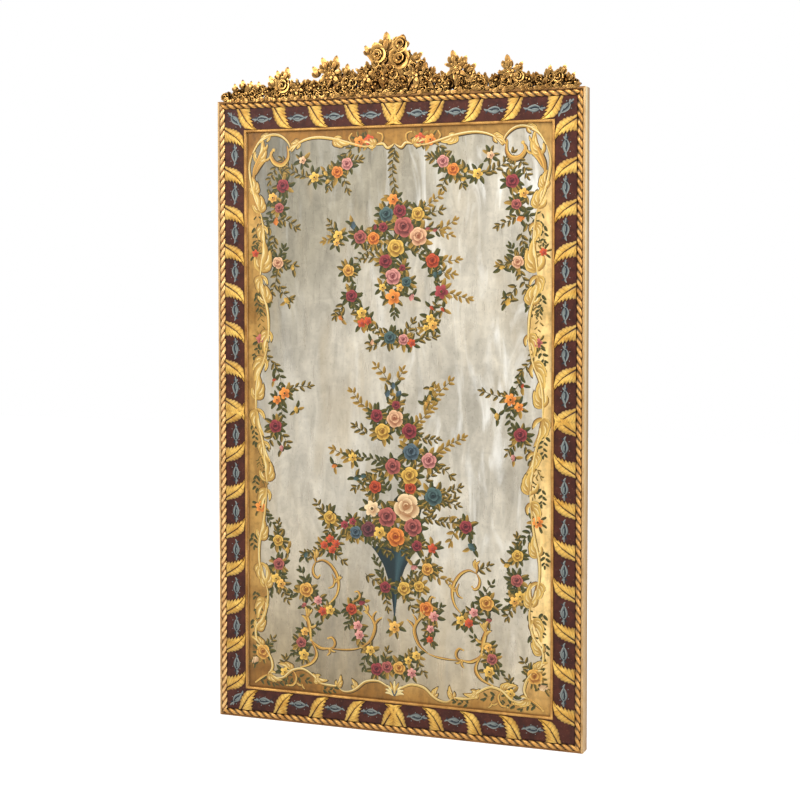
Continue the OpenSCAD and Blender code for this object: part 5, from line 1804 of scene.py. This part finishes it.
# The lamps: place, height on the mirror that they aim at, width and power
LAMPS = {
    "key": ((-2.6, -3.6, 3.4), 1.1, 2.0, 95),
    "fill": ((3.4, -2.6, 2.2), 1.0, 1.8, 60),
    "top": ((0.6, -1.6, 3.6), 2.0, 1.0, 36),
    "behind": ((-1.2, 3.8, 3.0), 1.0, 2.0, 70),
}
FLOOR_REACH = 9.0
# Emission that lifts the floor, as the camera sees it, to the white of the background
FLOOR_LIFT = 0.68


class MIRROR_OT_stage(bpy.types.Operator):
    """Sets the floor, the soft light and the camera"""
    bl_idname = "mirror.stage"
    bl_label = "Stage"

    def execute(self, context):
        settings = context.scene.mirror_stage
        scene = context.scene
        scene.view_settings.view_transform = "Standard"
        self.world(scene, settings.daylight)
        self.floor()
        for name, (place, height, size, power) in LAMPS.items():
            self.lamp(name, place, (0, 0, height), size, power)
        data = bpy.data.cameras.new("camera")
        data.lens = settings.lens
        data.shift_y = settings.rise
        camera = bpy.data.objects.new("camera", data)
        camera.location = settings.camera_place
        camera.rotation_euler = (math.pi / 2 - settings.camera_dip, 0, settings.camera_turn)
        scene.collection.objects.link(camera)
        scene.camera = camera
        return {"FINISHED"}

    @staticmethod
    def seen_share(tree):
        """1 where the camera sees it, also in metal or through glass, and 0 for the light it sheds"""
        path = tree.nodes.new("ShaderNodeLightPath")
        share = path.outputs["Is Camera Ray"]
        for kind in ("Is Glossy Ray", "Is Transmission Ray"):
            either = tree.nodes.new("ShaderNodeMath")
            either.operation = "MAXIMUM"
            tree.links.new(share, either.inputs[0])
            tree.links.new(path.outputs[kind], either.inputs[1])
            share = either.outputs[0]
        return share

    def world(self, scene, daylight):
        """Soft light from all round, white where it is seen"""
        world = bpy.data.worlds.new("studio")
        scene.world = world
        world.use_nodes = True
        tree = world.node_tree
        tree.nodes["Background"].inputs["Color"].default_value = (1, 1, 1, 1)
        level = tree.nodes.new("ShaderNodeMapRange")
        level.inputs["To Min"].default_value = daylight
        level.inputs["To Max"].default_value = 1.0
        tree.links.new(self.seen_share(tree), level.inputs["Value"])
        tree.links.new(level.outputs[0], tree.nodes["Background"].inputs["Strength"])

    def floor(self):
        """A wide floor that blends into the background and keeps the mirror's shadow"""
        bm = bmesh.new()
        bmesh.ops.create_grid(bm, x_segments=24, y_segments=24, size=FLOOR_REACH)
        mesh = bpy.data.meshes.new("floor")
        bm.to_mesh(mesh)
        bm.free()
        finish = Finish("floor_paper")
        tone = finish.ramp(finish.noise(0.6, 2.0), (0.3, (240, 240, 240)), (0.7, (244, 244, 244)))
        finish.done(tone, 0.9)
        finish.feed(finish.shader.inputs["Emission Color"], (1, 1, 1, 1))
        seen = finish.times(self.seen_share(finish.tree), FLOOR_LIFT)
        finish.feed(finish.shader.inputs["Emission Strength"], seen)
        mesh.materials.append(finish.material)
        floor = bpy.data.objects.new("floor", mesh)
        bpy.context.scene.collection.objects.link(floor)

    def lamp(self, name, place, target, size, power):
        """A round lamp that aims at target"""
        data = bpy.data.lights.new(name, "AREA")
        data.shape = "DISK"
        data.size = size
        data.energy = power
        lamp = bpy.data.objects.new(name, data)
        lamp.location = place
        aim = Vector(target) - Vector(place)
        lamp.rotation_euler = aim.to_track_quat("-Z", "Y").to_euler()
        bpy.context.scene.collection.objects.link(lamp)


OPERATORS = (
    MIRROR_OT_stage, MIRROR_OT_finish_frame, MIRROR_OT_rope, MIRROR_OT_leaves, MIRROR_OT_husks,
    MIRROR_OT_border, MIRROR_OT_painting, MIRROR_OT_crest,
)


class MIRROR_PT_panel(bpy.types.Panel):
    """Lists the mirror's settings and the steps that make it"""
    bl_idname = "MIRROR_PT_panel"
    bl_label = "Standing mirror"
    bl_space_type = "VIEW_3D"
    bl_region_type = "UI"
    bl_category = "Mirror"

    def draw(self, context):
        for name, group in SETTINGS.items():
            box = self.layout.box()
            settings = getattr(context.scene, name)
            for field in group.__annotations__:
                box.prop(settings, field)
        for operator in OPERATORS:
            self.layout.operator(operator.bl_idname)


CLASSES = (*SETTINGS.values(), *OPERATORS, MIRROR_PT_panel)


def register():
    for made in CLASSES:
        bpy.utils.register_class(made)
    for name, group in SETTINGS.items():
        setattr(bpy.types.Scene, name, PointerProperty(type=group))


def unregister():
    for name in SETTINGS:
        delattr(bpy.types.Scene, name)
    for made in reversed(CLASSES):
        bpy.utils.unregister_class(made)


def main():
    register()
    for step in ("stage", "finish_frame", "rope", "leaves", "husks", "border", "painting", "crest"):
        getattr(bpy.ops.mirror, step)()


if __name__ == "__main__":
    main()
